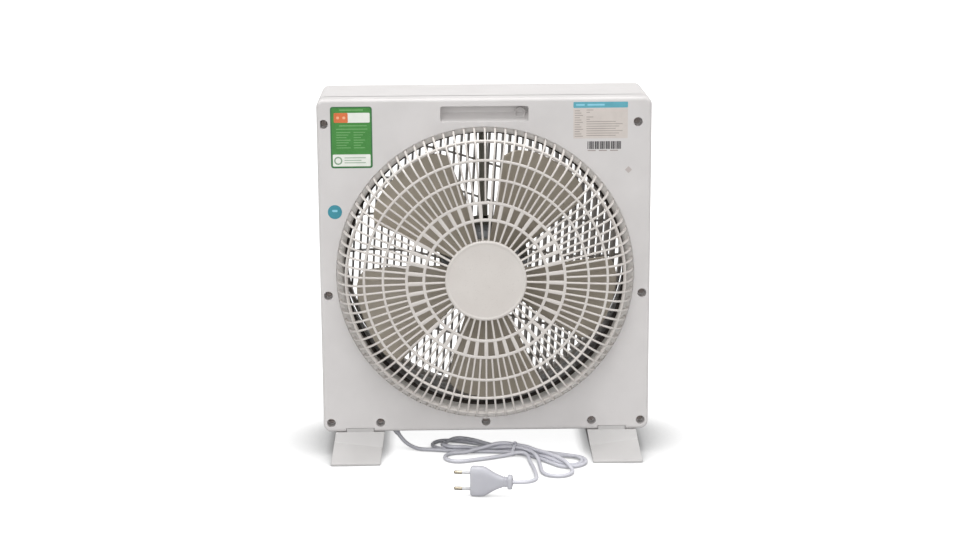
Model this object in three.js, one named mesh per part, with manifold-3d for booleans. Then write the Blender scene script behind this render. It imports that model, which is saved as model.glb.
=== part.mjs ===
// A 12-inch box fan: a square moulded housing on two clip-on feet, a five-bladed impeller on a
// shaded-pole style motor, and a louvre wheel in the front opening that turns slowly to sweep the air.
//
// Everything is drawn as seen from behind: x to the right, y up from the floor, z out of the back.
// The group at the end turns that drawing so that z points up and the front faces -Y.
// Lengths are millimetres and angles are degrees unless a name says otherwise.

import * as THREE from "three";
import { mergeVertices } from "three/addons/utils/BufferGeometryUtils.js";
import Module from "manifold-3d";

const wasm = await Module();
wasm.setup();

// ---------------------------------------------------------------- driving dimensions

const CLEARANCE = 0.3; // between any two pieces that touch

// Housing
const GUARD_RADIUS = 174.4; // air opening, where the guard's ribs meet the rear cover
const OPENING_BESIDE = 19.6; // housing beyond the opening on each side
const OPENING_ABOVE = 33.6;
const OPENING_BELOW = 17.6;
const HOUSING_WIDTH = 2 * (GUARD_RADIUS + OPENING_BESIDE);
const HOUSING_HEIGHT = OPENING_BELOW + 2 * GUARD_RADIUS + OPENING_ABOVE;
const HOUSING_DEPTH = 130;
const HOUSING_CORNER = 9;
const HOUSING_EDGE = 5; // rounding of the front and rear edges
const HOUSING_WALL = 2.5;
const HOUSING_LIFT = 30; // underside above the floor
const REAR_COVER_DEPTH = 22;
const SEAM_LIP = 4; // the front housing's lip inside the rear cover
const SEAM_LIP_WALL = 1.2;

// Rear guard
const GUARD_RISE = 36.5; // the guard's flat middle above the rear cover
const GUARD_THICKNESS = 3.5;
const GUARD_RIM_THICKNESS = 1.8; // the guard's sloping shoulder
const GUARD_DISC_RADIUS = 47.4;
const GUARD_INNER_RINGS = [GUARD_RADIUS - 102.5, GUARD_RADIUS - 82.4]; // rings among the inner ribs
const GUARD_OUTER_RINGS = [GUARD_RADIUS - 55.1, GUARD_RADIUS - 33.1]; // flat rings among the outer ribs
const SHOULDER_RING_RADIUS = GUARD_RADIUS - 11.1;
const SHOULDER_RING_RISE = 25.7;
const RING_WIDTH = 3;
const INNER_RIB_COUNT = 45;
const OUTER_RIB_COUNT = 2 * INNER_RIB_COUNT;
const RIB_THICKNESS = 2.2;
const WIDE_RIB_THICKNESS = 4.8; // between the two inner rings
const INTAKE_STEP = 10.9; // how far the throat of the intake ring is inside the opening
const INTAKE_RADIUS = GUARD_RADIUS - INTAKE_STEP;
const INTAKE_DEPTH = 28;
const INTAKE_WALL = 2;
const FLANGE_LAP = 3.6; // the guard's flange behind the rear cover
const FLANGE_THICKNESS = 2.2;
const STAKE_RADIUS = 2.5; // pins of the rear cover that hold the guard
const STAKE_CIRCLE = GUARD_RADIUS + 11.6;
const STAKE_EAR_LENGTH = 22;
const STAKE_EAR_WIDTH = 14;

// Screws that close the housing
const SCREW_SIDE_INSET = 9.3;
const SCREW_BOTTOM_INSET = 11.3;
const SCREW_TOP_INSET = 29;
const TOP_LEFT_SCREW_INSET = 8;
const TOP_RIGHT_SCREW_INSET = 16;
const SCREW_BELOW_AXIS = 24.5;
const INNER_SCREW_INSET = 68;
const WELL_RADIUS = 4.9;
const WELL_DEPTH = 14;
const WELL_WALL = 1.8;
const SCREW_HEAD_RADIUS = 3.6;
const SCREW_HEAD_HEIGHT = 2.2;
const SCREW_SHANK_RADIUS = 1.6;
const SCREW_LENGTH = 18;
const BOSS_RADIUS = 5;

// Finger pockets of the carrying handle
const POCKET_WIDTH = 102;
const POCKET_HEIGHT = 18.4;
const POCKET_DEPTH = 18;
const POCKET_BELOW_TOP = 9.3;
const POCKET_WALL = 2;
const POCKET_SCREW_INSET = 9.3; // from the pocket's end
const POCKET_SCREW_X = POCKET_WIDTH / 2 - POCKET_SCREW_INSET;
const HANDLE_BOSS_LENGTH = 30;

// Feet
const FOOT_X = HOUSING_WIDTH / 2 - 43.7; // middle of each foot's top
const FOOT_WIDTH = 58.5;
const FOOT_SPLAY = 5; // how far the sole stands outboard of the top
const FOOT_REACH = 38; // beyond the housing's front and rear faces
const FOOT_TOE = 2.5; // height of the toe's edge
const FOOT_WALL = 3;
const FOOT_BRIDGE = 14; // solid bar across the middle of the sole
const TONGUE_WIDTH = 33;
const TONGUE_HEIGHT = 4.6;
const TONGUE_DEPTH = 6;

// Impeller
const BLADE_COUNT = 5;
const BLADE_TIP_GAP = 8.5; // between the blade tips and the intake ring
const BLADE_TIP_RADIUS = INTAKE_RADIUS - BLADE_TIP_GAP;
const BLADE_THICKNESS = 2.2;
const BLADE_LEADING_ANGLE = 153.3; // of one blade, counter-clockwise from x
const BLADE_ROOT_SPAN = 51.5;
const BLADE_TIP_SPAN = 45.7;
const BLADE_REAR_Z = 76;
const BLADE_FRONT_Z = 38;
const BLADE_ROOT_DROP = 14; // the leading edge sinks this much towards the hub
const BLADE_CAMBER = 5;
const BLADE_TIP_ROUNDING = 0.075; // share of the tip radius
const HUB_RADIUS = 36;
const HUB_WALL = 2.5;
const HUB_REAR_Z = 69;
const HUB_LENGTH = 36;
const HUB_CORE_RADIUS = 9;

// Motor
const MOTOR_RADIUS = 44;
const MOTOR_REAR_Z = 26;
const MOTOR_SPLIT_Z = 2;
const MOTOR_FRONT_Z = -20;
const MOTOR_WALL = 2;
const SHAFT_RADIUS = 4;
const SHAFT_END_GAP = 2; // between the shaft's end and the hub's face
const BEARING_RADIUS = 9;
const BEARING_LENGTH = 8;
const STATOR_INNER_RADIUS = 30;
const STATOR_HALF_LENGTH = 11;
const AIR_GAP = 0.8;
const MOTOR_BOLT_RADIUS = 2;
const MOTOR_BOLT_CIRCLE = MOTOR_RADIUS + 3;
const BOLT_HEAD_RADIUS = 4;
const BOLT_HEAD_HEIGHT = 3;
const BOLT_NUT_RADIUS = 3.5;
const BOLT_NUT_HEIGHT = 4;
const MOTOR_EAR = 4.5; // half the width of the ears around the bolts

// Bracket that carries both motors
const BRACKET_THICKNESS = 2;
const BRACKET_WIDTH = 10;
const BRACKET_FLANGE = 6;
const BRACKET_PLATE_RADIUS = 54;
const BRACKET_FOOT_WIDTH = 42;
const BRACKET_FOOT_HEIGHT = 10;
const BRACKET_SCREW_X = 14;
const PAD_DEPTH = 13;

// Louvre wheel and its motor
const LOUVRE_RADIUS = GUARD_RADIUS - 2.4;
const LOUVRE_RIM_WALL = 4;
const LOUVRE_DEPTH = 15;
const LOUVRE_GAP = 3; // between the wheel and the housing's collar
const SLAT_PITCH = 8.4;
const SLAT_THICKNESS = 1.6;
const SLAT_DEPTH = 13;
const SLAT_LEAN = 8; // at the middle; the slats lean more and more towards the right
const LOUVRE_HUB_RADIUS = 30;
const LOUVRE_TURN = -3.4; // where the wheel happens to stand
const COLLAR_WALL = 2.5;
const COLLAR_DEPTH = 20;
const LOUVRE_MOTOR_RADIUS = 25;
const LOUVRE_MOTOR_LENGTH = 16;
const LOUVRE_SHAFT_RADIUS = 3.5;
const LOUVRE_CAP_RADIUS = 32;
const LOUVRE_CAP_THICKNESS = 3;

// Controls on the front
const KNOB_X = HOUSING_WIDTH / 2 - 39;
const KNOB_ABOVE_BASE = 42;
const KNOB_RADIUS = 17;
const KNOB_HEIGHT = 15;
const KNOB_GRIP_WIDTH = 8;
const KNOB_BASE_HEIGHT = 5;
const SPINDLE_RADIUS = 3;
const TIMER_SIZE = 44;
const TIMER_DEPTH = 30;
const SPEED_SWITCH_SIZE = 34;
const SPEED_SWITCH_DEPTH = 20;
const ROCKER_X = HOUSING_WIDTH / 2 - 36;
const ROCKER_BELOW_TOP = 50;
const ROCKER_WIDTH = 19;
const ROCKER_HEIGHT = 13;
const ROCKER_BODY_DEPTH = 16;
const ROCKER_PIVOT_DEPTH = 2.5;
const ROCKER_TILT = 8;
const BEZEL_BORDER = 2;
const BEZEL_THICKNESS = 2;

// Electrics on the floor of the housing
const CAPACITOR_SIZE = [38, 27, 18];
const CAPACITOR_X = HOUSING_WIDTH / 2 - 102;
const TERMINAL_SIZE = [30, 14, 22];
const TERMINAL_X = 106 - HOUSING_WIDTH / 2;

// Mains cord, its hank and its plug
const CORD_DIAMETER = 4.6;
const CORD_EXIT_X = 80 - HOUSING_WIDTH / 2;
const CORD_EXIT_Z = HOUSING_DEPTH / 2 - 30;
const CORD_EXIT_LEAN = 35; // from straight down, towards the middle
const RELIEF_RADIUS = 3.9;
const RELIEF_TIP_RADIUS = 2.9;
const RELIEF_INSIDE = 6;
const RELIEF_OUTSIDE = 15;
const RELIEF_FLANGE_RADIUS = 6;
const HANK_BOTTOM = 1.6;
const HANK_TOP = 15;
const WAIST_X = CORD_EXIT_X + 148.7;
const WAIST_Z = CORD_EXIT_Z + 27;
const WAIST_WIDTH = 31.9;
const WAIST_TURN = -16;
const TIE_BAND = 1;
const TIE_BAND_WIDTH = 4;
const PLUG_LENGTH = 48;
const PLUG_WIDTH = 35;
const PLUG_THICKNESS = 13.6;
const PLUG_EDGE_ROUNDING = 1.2;
const PLUG_SHOULDER_LENGTH = 14; // full width behind the face
const PLUG_NECK_WIDTH = 10;
const PLUG_NECK_LENGTH = 12; // from where the body narrows to the end
const PLUG_COLLAR_WIDTH = 16;
const PLUG_COLLAR_LENGTH = 6;
const PLUG_CORD_SOCKET = 6;
const PLUG_YAW = -8;
const PIN_RADIUS = 2;
const PIN_LENGTH = 19;
const PIN_SPACING = 19;
const PIN_ROOT = 8;

// Facets of round shapes
const FINE = OUTER_RIB_COUNT;
const ROUND = 40;
const MEDIUM = 20;
const SMALL = 12;
const COARSE = 8;

// ---------------------------------------------------------------- derived places

const BASE_Y = HOUSING_LIFT;
const TOP_Y = HOUSING_LIFT + HOUSING_HEIGHT;
const AXIS_Y = HOUSING_LIFT + OPENING_BELOW + GUARD_RADIUS;
const SIDE_X = HOUSING_WIDTH / 2;
const REAR_Z = HOUSING_DEPTH / 2;
const FRONT_Z = -HOUSING_DEPTH / 2;
const COVER_SEAM_Z = REAR_Z - REAR_COVER_DEPTH;
const HOUSING_SEAM_Z = COVER_SEAM_Z - CLEARANCE;
const INNER_REAR_Z = REAR_Z - HOUSING_WALL;
const INNER_FRONT_Z = FRONT_Z + HOUSING_WALL;
const FLOOR_Y = BASE_Y + HOUSING_WALL;
const CEILING_Y = TOP_Y - HOUSING_WALL;
const PLUS_HALF = CLEARANCE / 2;

const WELL_FLOOR_Z = REAR_Z - WELL_DEPTH;
const BOSS_TOP_Z = WELL_FLOOR_Z - HOUSING_WALL - CLEARANCE;
const SHORT_BOSS_FRONT_Z = 8; // the middle boss stops behind the motor bracket

const COVER_SCREWS = [
  { x: -SIDE_X + TOP_LEFT_SCREW_INSET, y: TOP_Y - SCREW_TOP_INSET },
  { x: SIDE_X - TOP_RIGHT_SCREW_INSET, y: TOP_Y - SCREW_TOP_INSET },
  { x: -SIDE_X + SCREW_SIDE_INSET, y: AXIS_Y - SCREW_BELOW_AXIS },
  { x: SIDE_X - SCREW_SIDE_INSET, y: AXIS_Y - SCREW_BELOW_AXIS },
  { x: -SIDE_X + SCREW_SIDE_INSET, y: BASE_Y + SCREW_BOTTOM_INSET },
  { x: -SIDE_X + INNER_SCREW_INSET, y: BASE_Y + SCREW_BOTTOM_INSET },
  { x: 0, y: BASE_Y + SCREW_BOTTOM_INSET },
  { x: SIDE_X - INNER_SCREW_INSET, y: BASE_Y + SCREW_BOTTOM_INSET },
  { x: SIDE_X - SCREW_SIDE_INSET, y: BASE_Y + SCREW_BOTTOM_INSET },
];

const POCKET_TOP_Y = TOP_Y - POCKET_BELOW_TOP;
const POCKET_BOTTOM_Y = POCKET_TOP_Y - POCKET_HEIGHT;
const POCKET_SCREW_Y = (POCKET_TOP_Y + POCKET_BOTTOM_Y) / 2;
const POCKET_WELL_DEPTH = 5;
const POCKET_WELL_FLOOR_Z = REAR_Z - POCKET_DEPTH - POCKET_WELL_DEPTH;
const POCKET_BOSS_TOP_Z = POCKET_WELL_FLOOR_Z - POCKET_WALL - CLEARANCE;

const OPENING_SIDES = FINE / 2;
const OPENING_RADIUS = (GUARD_RADIUS + CLEARANCE) / Math.cos(Math.PI / OPENING_SIDES);
const FLANGE_RADIUS = GUARD_RADIUS + FLANGE_LAP;
const FLANGE_REAR_Z = INNER_REAR_Z - CLEARANCE;
const FLANGE_FRONT_Z = FLANGE_REAR_Z - FLANGE_THICKNESS;

const BRACKET_REAR_Z = MOTOR_FRONT_Z - CLEARANCE;
const BRACKET_FRONT_Z = BRACKET_REAR_Z - BRACKET_THICKNESS;
const PAD_REAR_Z = BRACKET_FRONT_Z - CLEARANCE;
const BRACKET_TOP_Y = CEILING_Y - 6;
const BRACKET_BOTTOM_Y = FLOOR_Y + 1;

const COLLAR_RADIUS = LOUVRE_RADIUS + LOUVRE_GAP;
const LOUVRE_FRONT_Z = FRONT_Z;
const LOUVRE_REAR_Z = LOUVRE_FRONT_Z + LOUVRE_DEPTH;
const LOUVRE_MID_Z = (LOUVRE_FRONT_Z + LOUVRE_REAR_Z) / 2;
const LOUVRE_MOTOR_REAR_Z = BRACKET_FRONT_Z - CLEARANCE;
const LOUVRE_MOTOR_FRONT_Z = LOUVRE_MOTOR_REAR_Z - LOUVRE_MOTOR_LENGTH;

const KNOB_Y = BASE_Y + KNOB_ABOVE_BASE;
const ROCKER_Y = TOP_Y - ROCKER_BELOW_TOP;

const CORD_RADIUS = CORD_DIAMETER / 2;
const CORD_FLOOR_Y = CORD_RADIUS + PLUS_HALF;

// ---------------------------------------------------------------- solids

const radians = THREE.MathUtils.degToRad;

function toSolid(geometry) {
  const bare = geometry.index ? geometry.toNonIndexed() : geometry.clone();
  bare.deleteAttribute("normal");
  bare.deleteAttribute("uv");
  const merged = mergeVertices(bare, 1e-4);
  const mesh = new wasm.Mesh({
    numProp: 3,
    vertProperties: merged.attributes.position.array,
    triVerts: new Uint32Array(merged.index.array),
  });
  return new wasm.Manifold(mesh);
}

function toGeometry(solid) {
  const mesh = solid.getMesh();
  const indexed = new THREE.BufferGeometry();
  indexed.setAttribute("position", new THREE.BufferAttribute(mesh.vertProperties, 3));
  indexed.setIndex(new THREE.BufferAttribute(mesh.triVerts, 1));
  const faceted = indexed.toNonIndexed();
  faceted.computeVertexNormals();
  return faceted;
}

function join(solids) {
  return solids.reduce((whole, piece) => whole.add(piece));
}

function cut(solid, cutters) {
  return cutters.reduce((rest, cutter) => rest.subtract(cutter), solid);
}

function block(x0, x1, y0, y1, z0, z1) {
  const geometry = new THREE.BoxGeometry(x1 - x0, y1 - y0, z1 - z0);
  geometry.translate((x0 + x1) / 2, (y0 + y1) / 2, (z0 + z1) / 2);
  return toSolid(geometry);
}

// A round bar along z.
function rod(radius, z0, z1, x = 0, y = AXIS_Y, sides = SMALL) {
  const geometry = new THREE.CylinderGeometry(radius, radius, z1 - z0, sides);
  geometry.rotateX(Math.PI / 2);
  geometry.translate(x, y, (z0 + z1) / 2);
  return toSolid(geometry);
}

// A closed (radius, z) outline turned about the fan axis, or about another line along z.
function turned(outline, sides, x = 0, y = AXIS_Y) {
  const points = outline.map(([radius, z]) => new THREE.Vector2(radius, z));
  const onAxis = outline[0][0] === 0 && outline[outline.length - 1][0] === 0;
  if (!onAxis) points.push(points[0].clone());
  const geometry = new THREE.LatheGeometry(points, sides);
  geometry.rotateX(Math.PI / 2);
  geometry.translate(x, y, 0);
  return toSolid(geometry);
}

// A shape drawn in x and y, standing from z0 to z1.
function slab(shape, z0, z1, curveSegments = 4) {
  const options = { depth: z1 - z0, bevelEnabled: false, curveSegments };
  const geometry = new THREE.ExtrudeGeometry(shape, options);
  geometry.translate(0, 0, z0);
  return toSolid(geometry);
}

// A side view drawn as [z, y] points, reaching from x0 to x1.
function sideSlab(points, x0, x1) {
  const shape = new THREE.Shape(points.map(([z, y]) => new THREE.Vector2(-z, y)));
  const options = { depth: x1 - x0, bevelEnabled: false };
  const geometry = new THREE.ExtrudeGeometry(shape, options);
  geometry.rotateY(Math.PI / 2);
  geometry.translate(x0, 0, 0);
  return toSolid(geometry);
}

function roundedRectangle(width, height, radius, x = 0, y = 0) {
  const right = x + width / 2;
  const left = x - width / 2;
  const top = y + height / 2;
  const bottom = y - height / 2;
  const shape = new THREE.Shape();
  shape.moveTo(left + radius, bottom);
  shape.absarc(right - radius, bottom + radius, radius, -Math.PI / 2, 0);
  shape.absarc(right - radius, top - radius, radius, 0, Math.PI / 2);
  shape.absarc(left + radius, top - radius, radius, Math.PI / 2, Math.PI);
  shape.absarc(left + radius, bottom + radius, radius, Math.PI, 1.5 * Math.PI);
  return shape;
}

// The housing's outer form, or its hollow when inset by the wall: a rounded edge at zRound and a
// flat open end at zOpen.
function casing(inset, zRound, zOpen) {
  const edge = HOUSING_EDGE - inset;
  const width = HOUSING_WIDTH - 2 * inset;
  const height = HOUSING_HEIGHT - 2 * inset;
  const outline = roundedRectangle(
    width - 2 * edge,
    height - 2 * edge,
    HOUSING_CORNER - inset - edge,
    0,
    BASE_Y + HOUSING_HEIGHT / 2,
  );
  const length = Math.abs(zRound - zOpen);
  const geometry = new THREE.ExtrudeGeometry(outline, {
    depth: length,
    bevelThickness: edge,
    bevelSize: edge,
    bevelSegments: 2,
    curveSegments: 2,
  });
  const towardsRear = zRound > zOpen;
  geometry.translate(0, 0, towardsRear ? zRound - edge - length : zRound + edge);
  const low = Math.min(zRound, zOpen);
  const high = Math.max(zRound, zOpen);
  const slice = block(-width, width, BASE_Y - height, TOP_Y + height, low, high);
  return toSolid(geometry).intersect(slice);
}

// ---------------------------------------------------------------- materials

function finish(color, roughness, metalness = 0) {
  return new THREE.MeshStandardMaterial({ color, roughness, metalness });
}

const whitePlastic = finish("#d2d0cf", 0.45);
const bladePlastic = finish("#a39b8c", 0.5);
const footPlastic = finish("#d6d5d4", 0.45);
const steel = finish("#b9bcc0", 0.35, 1);
const zincSteel = finish("#8f9296", 0.45, 1);
const motorPaint = finish("#9a9c9f", 0.5, 0.6);
const laminations = finish("#5b5d61", 0.5, 0.8);
const bronze = finish("#a57b45", 0.45, 1);
const darkPlastic = finish("#2b2b2d", 0.5);
const cordVinyl = finish("#b9b9c0", 0.45);
const brass = finish("#b39a6a", 0.35, 1);

// ---------------------------------------------------------------- assembly

// Groups carry the pieces that turn together; the drawing frame holds them all.
const fan = new THREE.Group();
const drawing = new THREE.Group();
drawing.rotation.set(Math.PI / 2, 0, Math.PI, "ZYX");
fan.add(drawing);

function add(name, solid, material) {
  const mesh = new THREE.Mesh(toGeometry(solid), material);
  mesh.name = name;
  drawing.add(mesh);
  return mesh;
}

// ---------------------------------------------------------------- housing shells

// Where the feet's tongues hook into the housing's lower edges.
function tongueNotch(side, zOuter) {
  const inward = -Math.sign(zOuter);
  const zInner = zOuter + inward * (TONGUE_DEPTH + CLEARANCE);
  const half = TONGUE_WIDTH / 2 + CLEARANCE;
  return block(
    side * FOOT_X - half,
    side * FOOT_X + half,
    BASE_Y - 1,
    BASE_Y + TONGUE_HEIGHT + CLEARANCE,
    Math.min(zInner, zOuter - inward),
    Math.max(zInner, zOuter - inward),
  );
}

// A finger pocket's side view: its roof is level and its floor rises towards the back of the pocket.
function pocketOutline(zFace, wall) {
  const inward = -Math.sign(zFace);
  const z = (depth) => zFace + inward * depth;
  return [
    [z(-1 + wall), POCKET_BOTTOM_Y - wall],
    [z(POCKET_DEPTH * 0.6), POCKET_BOTTOM_Y + POCKET_HEIGHT * 0.2 - wall],
    [z(POCKET_DEPTH + wall), POCKET_BOTTOM_Y + POCKET_HEIGHT * 0.5 - wall],
    [z(POCKET_DEPTH + wall), POCKET_TOP_Y + wall],
    [z(-1 + wall), POCKET_TOP_Y + wall],
  ];
}

function pocket(zFace, wall) {
  const outline = pocketOutline(zFace, wall);
  const ordered = zFace > 0 ? outline.reverse() : outline;
  return sideSlab(ordered, -POCKET_WIDTH / 2 - wall, POCKET_WIDTH / 2 + wall);
}

function reliefLine(start, end) {
  const lean = radians(CORD_EXIT_LEAN);
  const along = (distance) =>
    new THREE.Vector3(
      CORD_EXIT_X + distance * Math.sin(lean),
      BASE_Y - distance * Math.cos(lean),
      CORD_EXIT_Z,
    );
  return [along(start), along(end)];
}

// A round bar between two points, tapering from one radius to another.
function bar(from, to, fromRadius, toRadius, sides = SMALL) {
  const length = from.distanceTo(to);
  const geometry = new THREE.CylinderGeometry(toRadius, fromRadius, length, sides);
  const direction = to.clone().sub(from).normalize();
  const turn = new THREE.Quaternion().setFromUnitVectors(new THREE.Vector3(0, 1, 0), direction);
  geometry.applyQuaternion(turn);
  const middle = from.clone().add(to).multiplyScalar(0.5);
  geometry.translate(middle.x, middle.y, middle.z);
  return toSolid(geometry);
}

function frontHousing() {
  const shell = cut(casing(0, FRONT_Z, HOUSING_SEAM_Z), [
    casing(HOUSING_WALL, INNER_FRONT_Z, HOUSING_SEAM_Z + 1),
  ]);

  const lipOuter = HOUSING_WALL + CLEARANCE;
  const lipZ0 = HOUSING_SEAM_Z - SEAM_LIP;
  const lipZ1 = HOUSING_SEAM_Z + SEAM_LIP;
  const lipRing = (inset, z0, z1) => {
    const width = HOUSING_WIDTH - 2 * inset;
    const height = HOUSING_HEIGHT - 2 * inset;
    const middle = BASE_Y + HOUSING_HEIGHT / 2;
    return slab(roundedRectangle(width, height, HOUSING_CORNER - inset, 0, middle), z0, z1, 1);
  };
  const lipBridge = lipRing(HOUSING_WALL / 2, lipZ0, HOUSING_SEAM_Z);
  const lip = cut(join([lipRing(lipOuter, lipZ0, lipZ1), lipBridge]), [
    lipRing(lipOuter + SEAM_LIP_WALL, lipZ0 - 1, lipZ1 + 1),
  ]);

  const collar = rod(COLLAR_RADIUS + COLLAR_WALL, INNER_FRONT_Z - 1, FRONT_Z + COLLAR_DEPTH, 0, AXIS_Y, ROUND);

  const bosses = [];
  for (const { x, y } of COVER_SCREWS) {
    const bossFront = x === 0 ? SHORT_BOSS_FRONT_Z : INNER_FRONT_Z - 1;
    const atBottom = y < BASE_Y + 2 * SCREW_BOTTOM_INSET;
    const outer = Math.sign(x) * (SIDE_X - 1);
    const inner = x - Math.sign(x) * BOSS_RADIUS;
    const spanX = atBottom ? [x - BOSS_RADIUS, x + BOSS_RADIUS] : [outer, inner].sort((a, b) => a - b);
    const bottom = atBottom ? BASE_Y + 1 : y - BOSS_RADIUS;
    bosses.push(block(...spanX, bottom, y + BOSS_RADIUS, bossFront, HOUSING_SEAM_Z - SEAM_LIP - 1));
    const neck = rod(BOSS_RADIUS, HOUSING_SEAM_Z - SEAM_LIP - 2, BOSS_TOP_Z, x, y, COARSE);
    bosses.push(neck);
  }
  const handleBossZ = POCKET_BOSS_TOP_Z - HANDLE_BOSS_LENGTH;
  const handleBossX = [POCKET_SCREW_X - BOSS_RADIUS, POCKET_SCREW_X + BOSS_RADIUS];
  bosses.push(block(...handleBossX, POCKET_SCREW_Y - BOSS_RADIUS, TOP_Y - 1, handleBossZ, POCKET_BOSS_TOP_Z));

  const padHalf = BRACKET_FOOT_WIDTH / 2;
  const pads = [
    block(-padHalf, padHalf, BRACKET_TOP_Y - BRACKET_FOOT_HEIGHT, TOP_Y - 1, PAD_REAR_Z - PAD_DEPTH, PAD_REAR_Z),
    block(-padHalf, padHalf, BASE_Y + 1, BRACKET_BOTTOM_Y + BRACKET_FOOT_HEIGHT, PAD_REAR_Z - PAD_DEPTH, PAD_REAR_Z),
  ];

  const holes = COVER_SCREWS.map(({ x, y }) =>
    rod(SCREW_SHANK_RADIUS + CLEARANCE, BOSS_TOP_Z - SCREW_LENGTH, BOSS_TOP_Z + 1, x, y, COARSE),
  );
  holes.push(
    rod(
      SCREW_SHANK_RADIUS + CLEARANCE,
      POCKET_BOSS_TOP_Z - SCREW_LENGTH,
      POCKET_BOSS_TOP_Z + 1,
      POCKET_SCREW_X,
      POCKET_SCREW_Y,
      COARSE,
    ),
  );
  for (const { x, y } of bracketScrewPlaces()) {
    holes.push(
      rod(SCREW_SHANK_RADIUS + CLEARANCE, PAD_REAR_Z - PAD_DEPTH + 2, PAD_REAR_Z + 1, x, y, COARSE),
    );
  }

  const openings = [
    rod(COLLAR_RADIUS, FRONT_Z - 1, FRONT_Z + COLLAR_DEPTH + 1, 0, AXIS_Y, ROUND),
    pocket(FRONT_Z, 0),
    tongueNotch(-1, FRONT_Z),
    tongueNotch(1, FRONT_Z),
    bar(...reliefLine(-RELIEF_INSIDE - 4, 4), RELIEF_RADIUS + CLEARANCE, RELIEF_RADIUS + CLEARANCE),
    block(
      ROCKER_X - ROCKER_WIDTH / 2 - CLEARANCE,
      ROCKER_X + ROCKER_WIDTH / 2 + CLEARANCE,
      ROCKER_Y - ROCKER_HEIGHT / 2 - CLEARANCE,
      ROCKER_Y + ROCKER_HEIGHT / 2 + CLEARANCE,
      FRONT_Z - 1,
      INNER_FRONT_Z + 1,
    ),
  ];
  for (const side of [-1, 1]) {
    openings.push(rod(SPINDLE_RADIUS + CLEARANCE, FRONT_Z - 1, INNER_FRONT_Z + 1, side * KNOB_X, KNOB_Y));
  }

  const whole = join([shell, lip, collar, ...bosses, ...pads, pocketWall(FRONT_Z)]);
  return cut(whole, [...holes, ...openings]);
}

// The wall around a finger pocket, trimmed flush with the housing's face.
function pocketWall(zFace) {
  const inward = -Math.sign(zFace);
  const near = zFace + inward;
  const far = zFace + inward * (POCKET_DEPTH + POCKET_WALL + 1);
  const span = block(-SIDE_X, SIDE_X, BASE_Y, TOP_Y, Math.min(near, far), Math.max(near, far));
  return pocket(zFace, POCKET_WALL).intersect(span);
}

function stakePlaces() {
  return [45, 135, 225, 315].map((angle) => ({
    x: STAKE_CIRCLE * Math.cos(radians(angle)),
    y: AXIS_Y + STAKE_CIRCLE * Math.sin(radians(angle)),
    angle,
  }));
}

function rearCover() {
  const shell = cut(casing(0, REAR_Z, COVER_SEAM_Z), [
    casing(HOUSING_WALL, INNER_REAR_Z, COVER_SEAM_Z - 1),
  ]);
  const wellBottom = WELL_FLOOR_Z - HOUSING_WALL;
  const wells = COVER_SCREWS.map(({ x, y }) =>
    rod(WELL_RADIUS + WELL_WALL, wellBottom, INNER_REAR_Z + 1, x, y, COARSE),
  );
  wells.push(
    rod(
      WELL_RADIUS + WELL_WALL,
      POCKET_WELL_FLOOR_Z - POCKET_WALL,
      REAR_Z - POCKET_DEPTH,
      POCKET_SCREW_X,
      POCKET_SCREW_Y,
      COARSE,
    ),
  );
  const stakes = stakePlaces().map(({ x, y }) =>
    rod(STAKE_RADIUS, FLANGE_FRONT_Z - 1.5, INNER_REAR_Z + 1, x, y, COARSE),
  );
  const outline = casing(0, REAR_Z, COVER_SEAM_Z - POCKET_DEPTH);
  const cutters = [
    rod(OPENING_RADIUS, COVER_SEAM_Z, REAR_Z + 1, 0, AXIS_Y, OPENING_SIDES),
    pocket(REAR_Z, 0),
    tongueNotch(-1, REAR_Z),
    tongueNotch(1, REAR_Z),
  ];
  for (const { x, y } of COVER_SCREWS) {
    cutters.push(rod(WELL_RADIUS, WELL_FLOOR_Z, REAR_Z + 1, x, y, COARSE));
    cutters.push(rod(SCREW_SHANK_RADIUS + CLEARANCE, wellBottom - 1, WELL_FLOOR_Z + 1, x, y, COARSE));
  }
  cutters.push(rod(WELL_RADIUS, POCKET_WELL_FLOOR_Z, REAR_Z - 8, POCKET_SCREW_X, POCKET_SCREW_Y, COARSE));
  cutters.push(
    rod(
      SCREW_SHANK_RADIUS + CLEARANCE,
      POCKET_WELL_FLOOR_Z - POCKET_WALL - 1,
      POCKET_WELL_FLOOR_Z + 1,
      POCKET_SCREW_X,
      POCKET_SCREW_Y,
      COARSE,
    ),
  );
  const whole = join([shell, ...wells, ...stakes, pocketWall(REAR_Z)]).intersect(outline);
  return cut(whole, cutters);
}

// ---------------------------------------------------------------- rear guard

// The opening between two ribs and two rings, cut straight through along z.
function guardCell(index, count, rib, innerRadius, outerRadius, z0, z1) {
  const step = (2 * Math.PI) / count;
  const start = -Math.PI / 2 + index * step;
  const corner = (radius, atStart) => {
    const rest = Math.asin(rib / 2 / radius);
    const angle = atStart ? start + rest : start + step - rest;
    return new THREE.Vector2(radius * Math.cos(angle), AXIS_Y + radius * Math.sin(angle));
  };
  const shape = new THREE.Shape([
    corner(innerRadius, true),
    corner(outerRadius, true),
    corner(outerRadius, false),
    corner(innerRadius, false),
  ]);
  return slab(shape, z0, z1);
}

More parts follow.
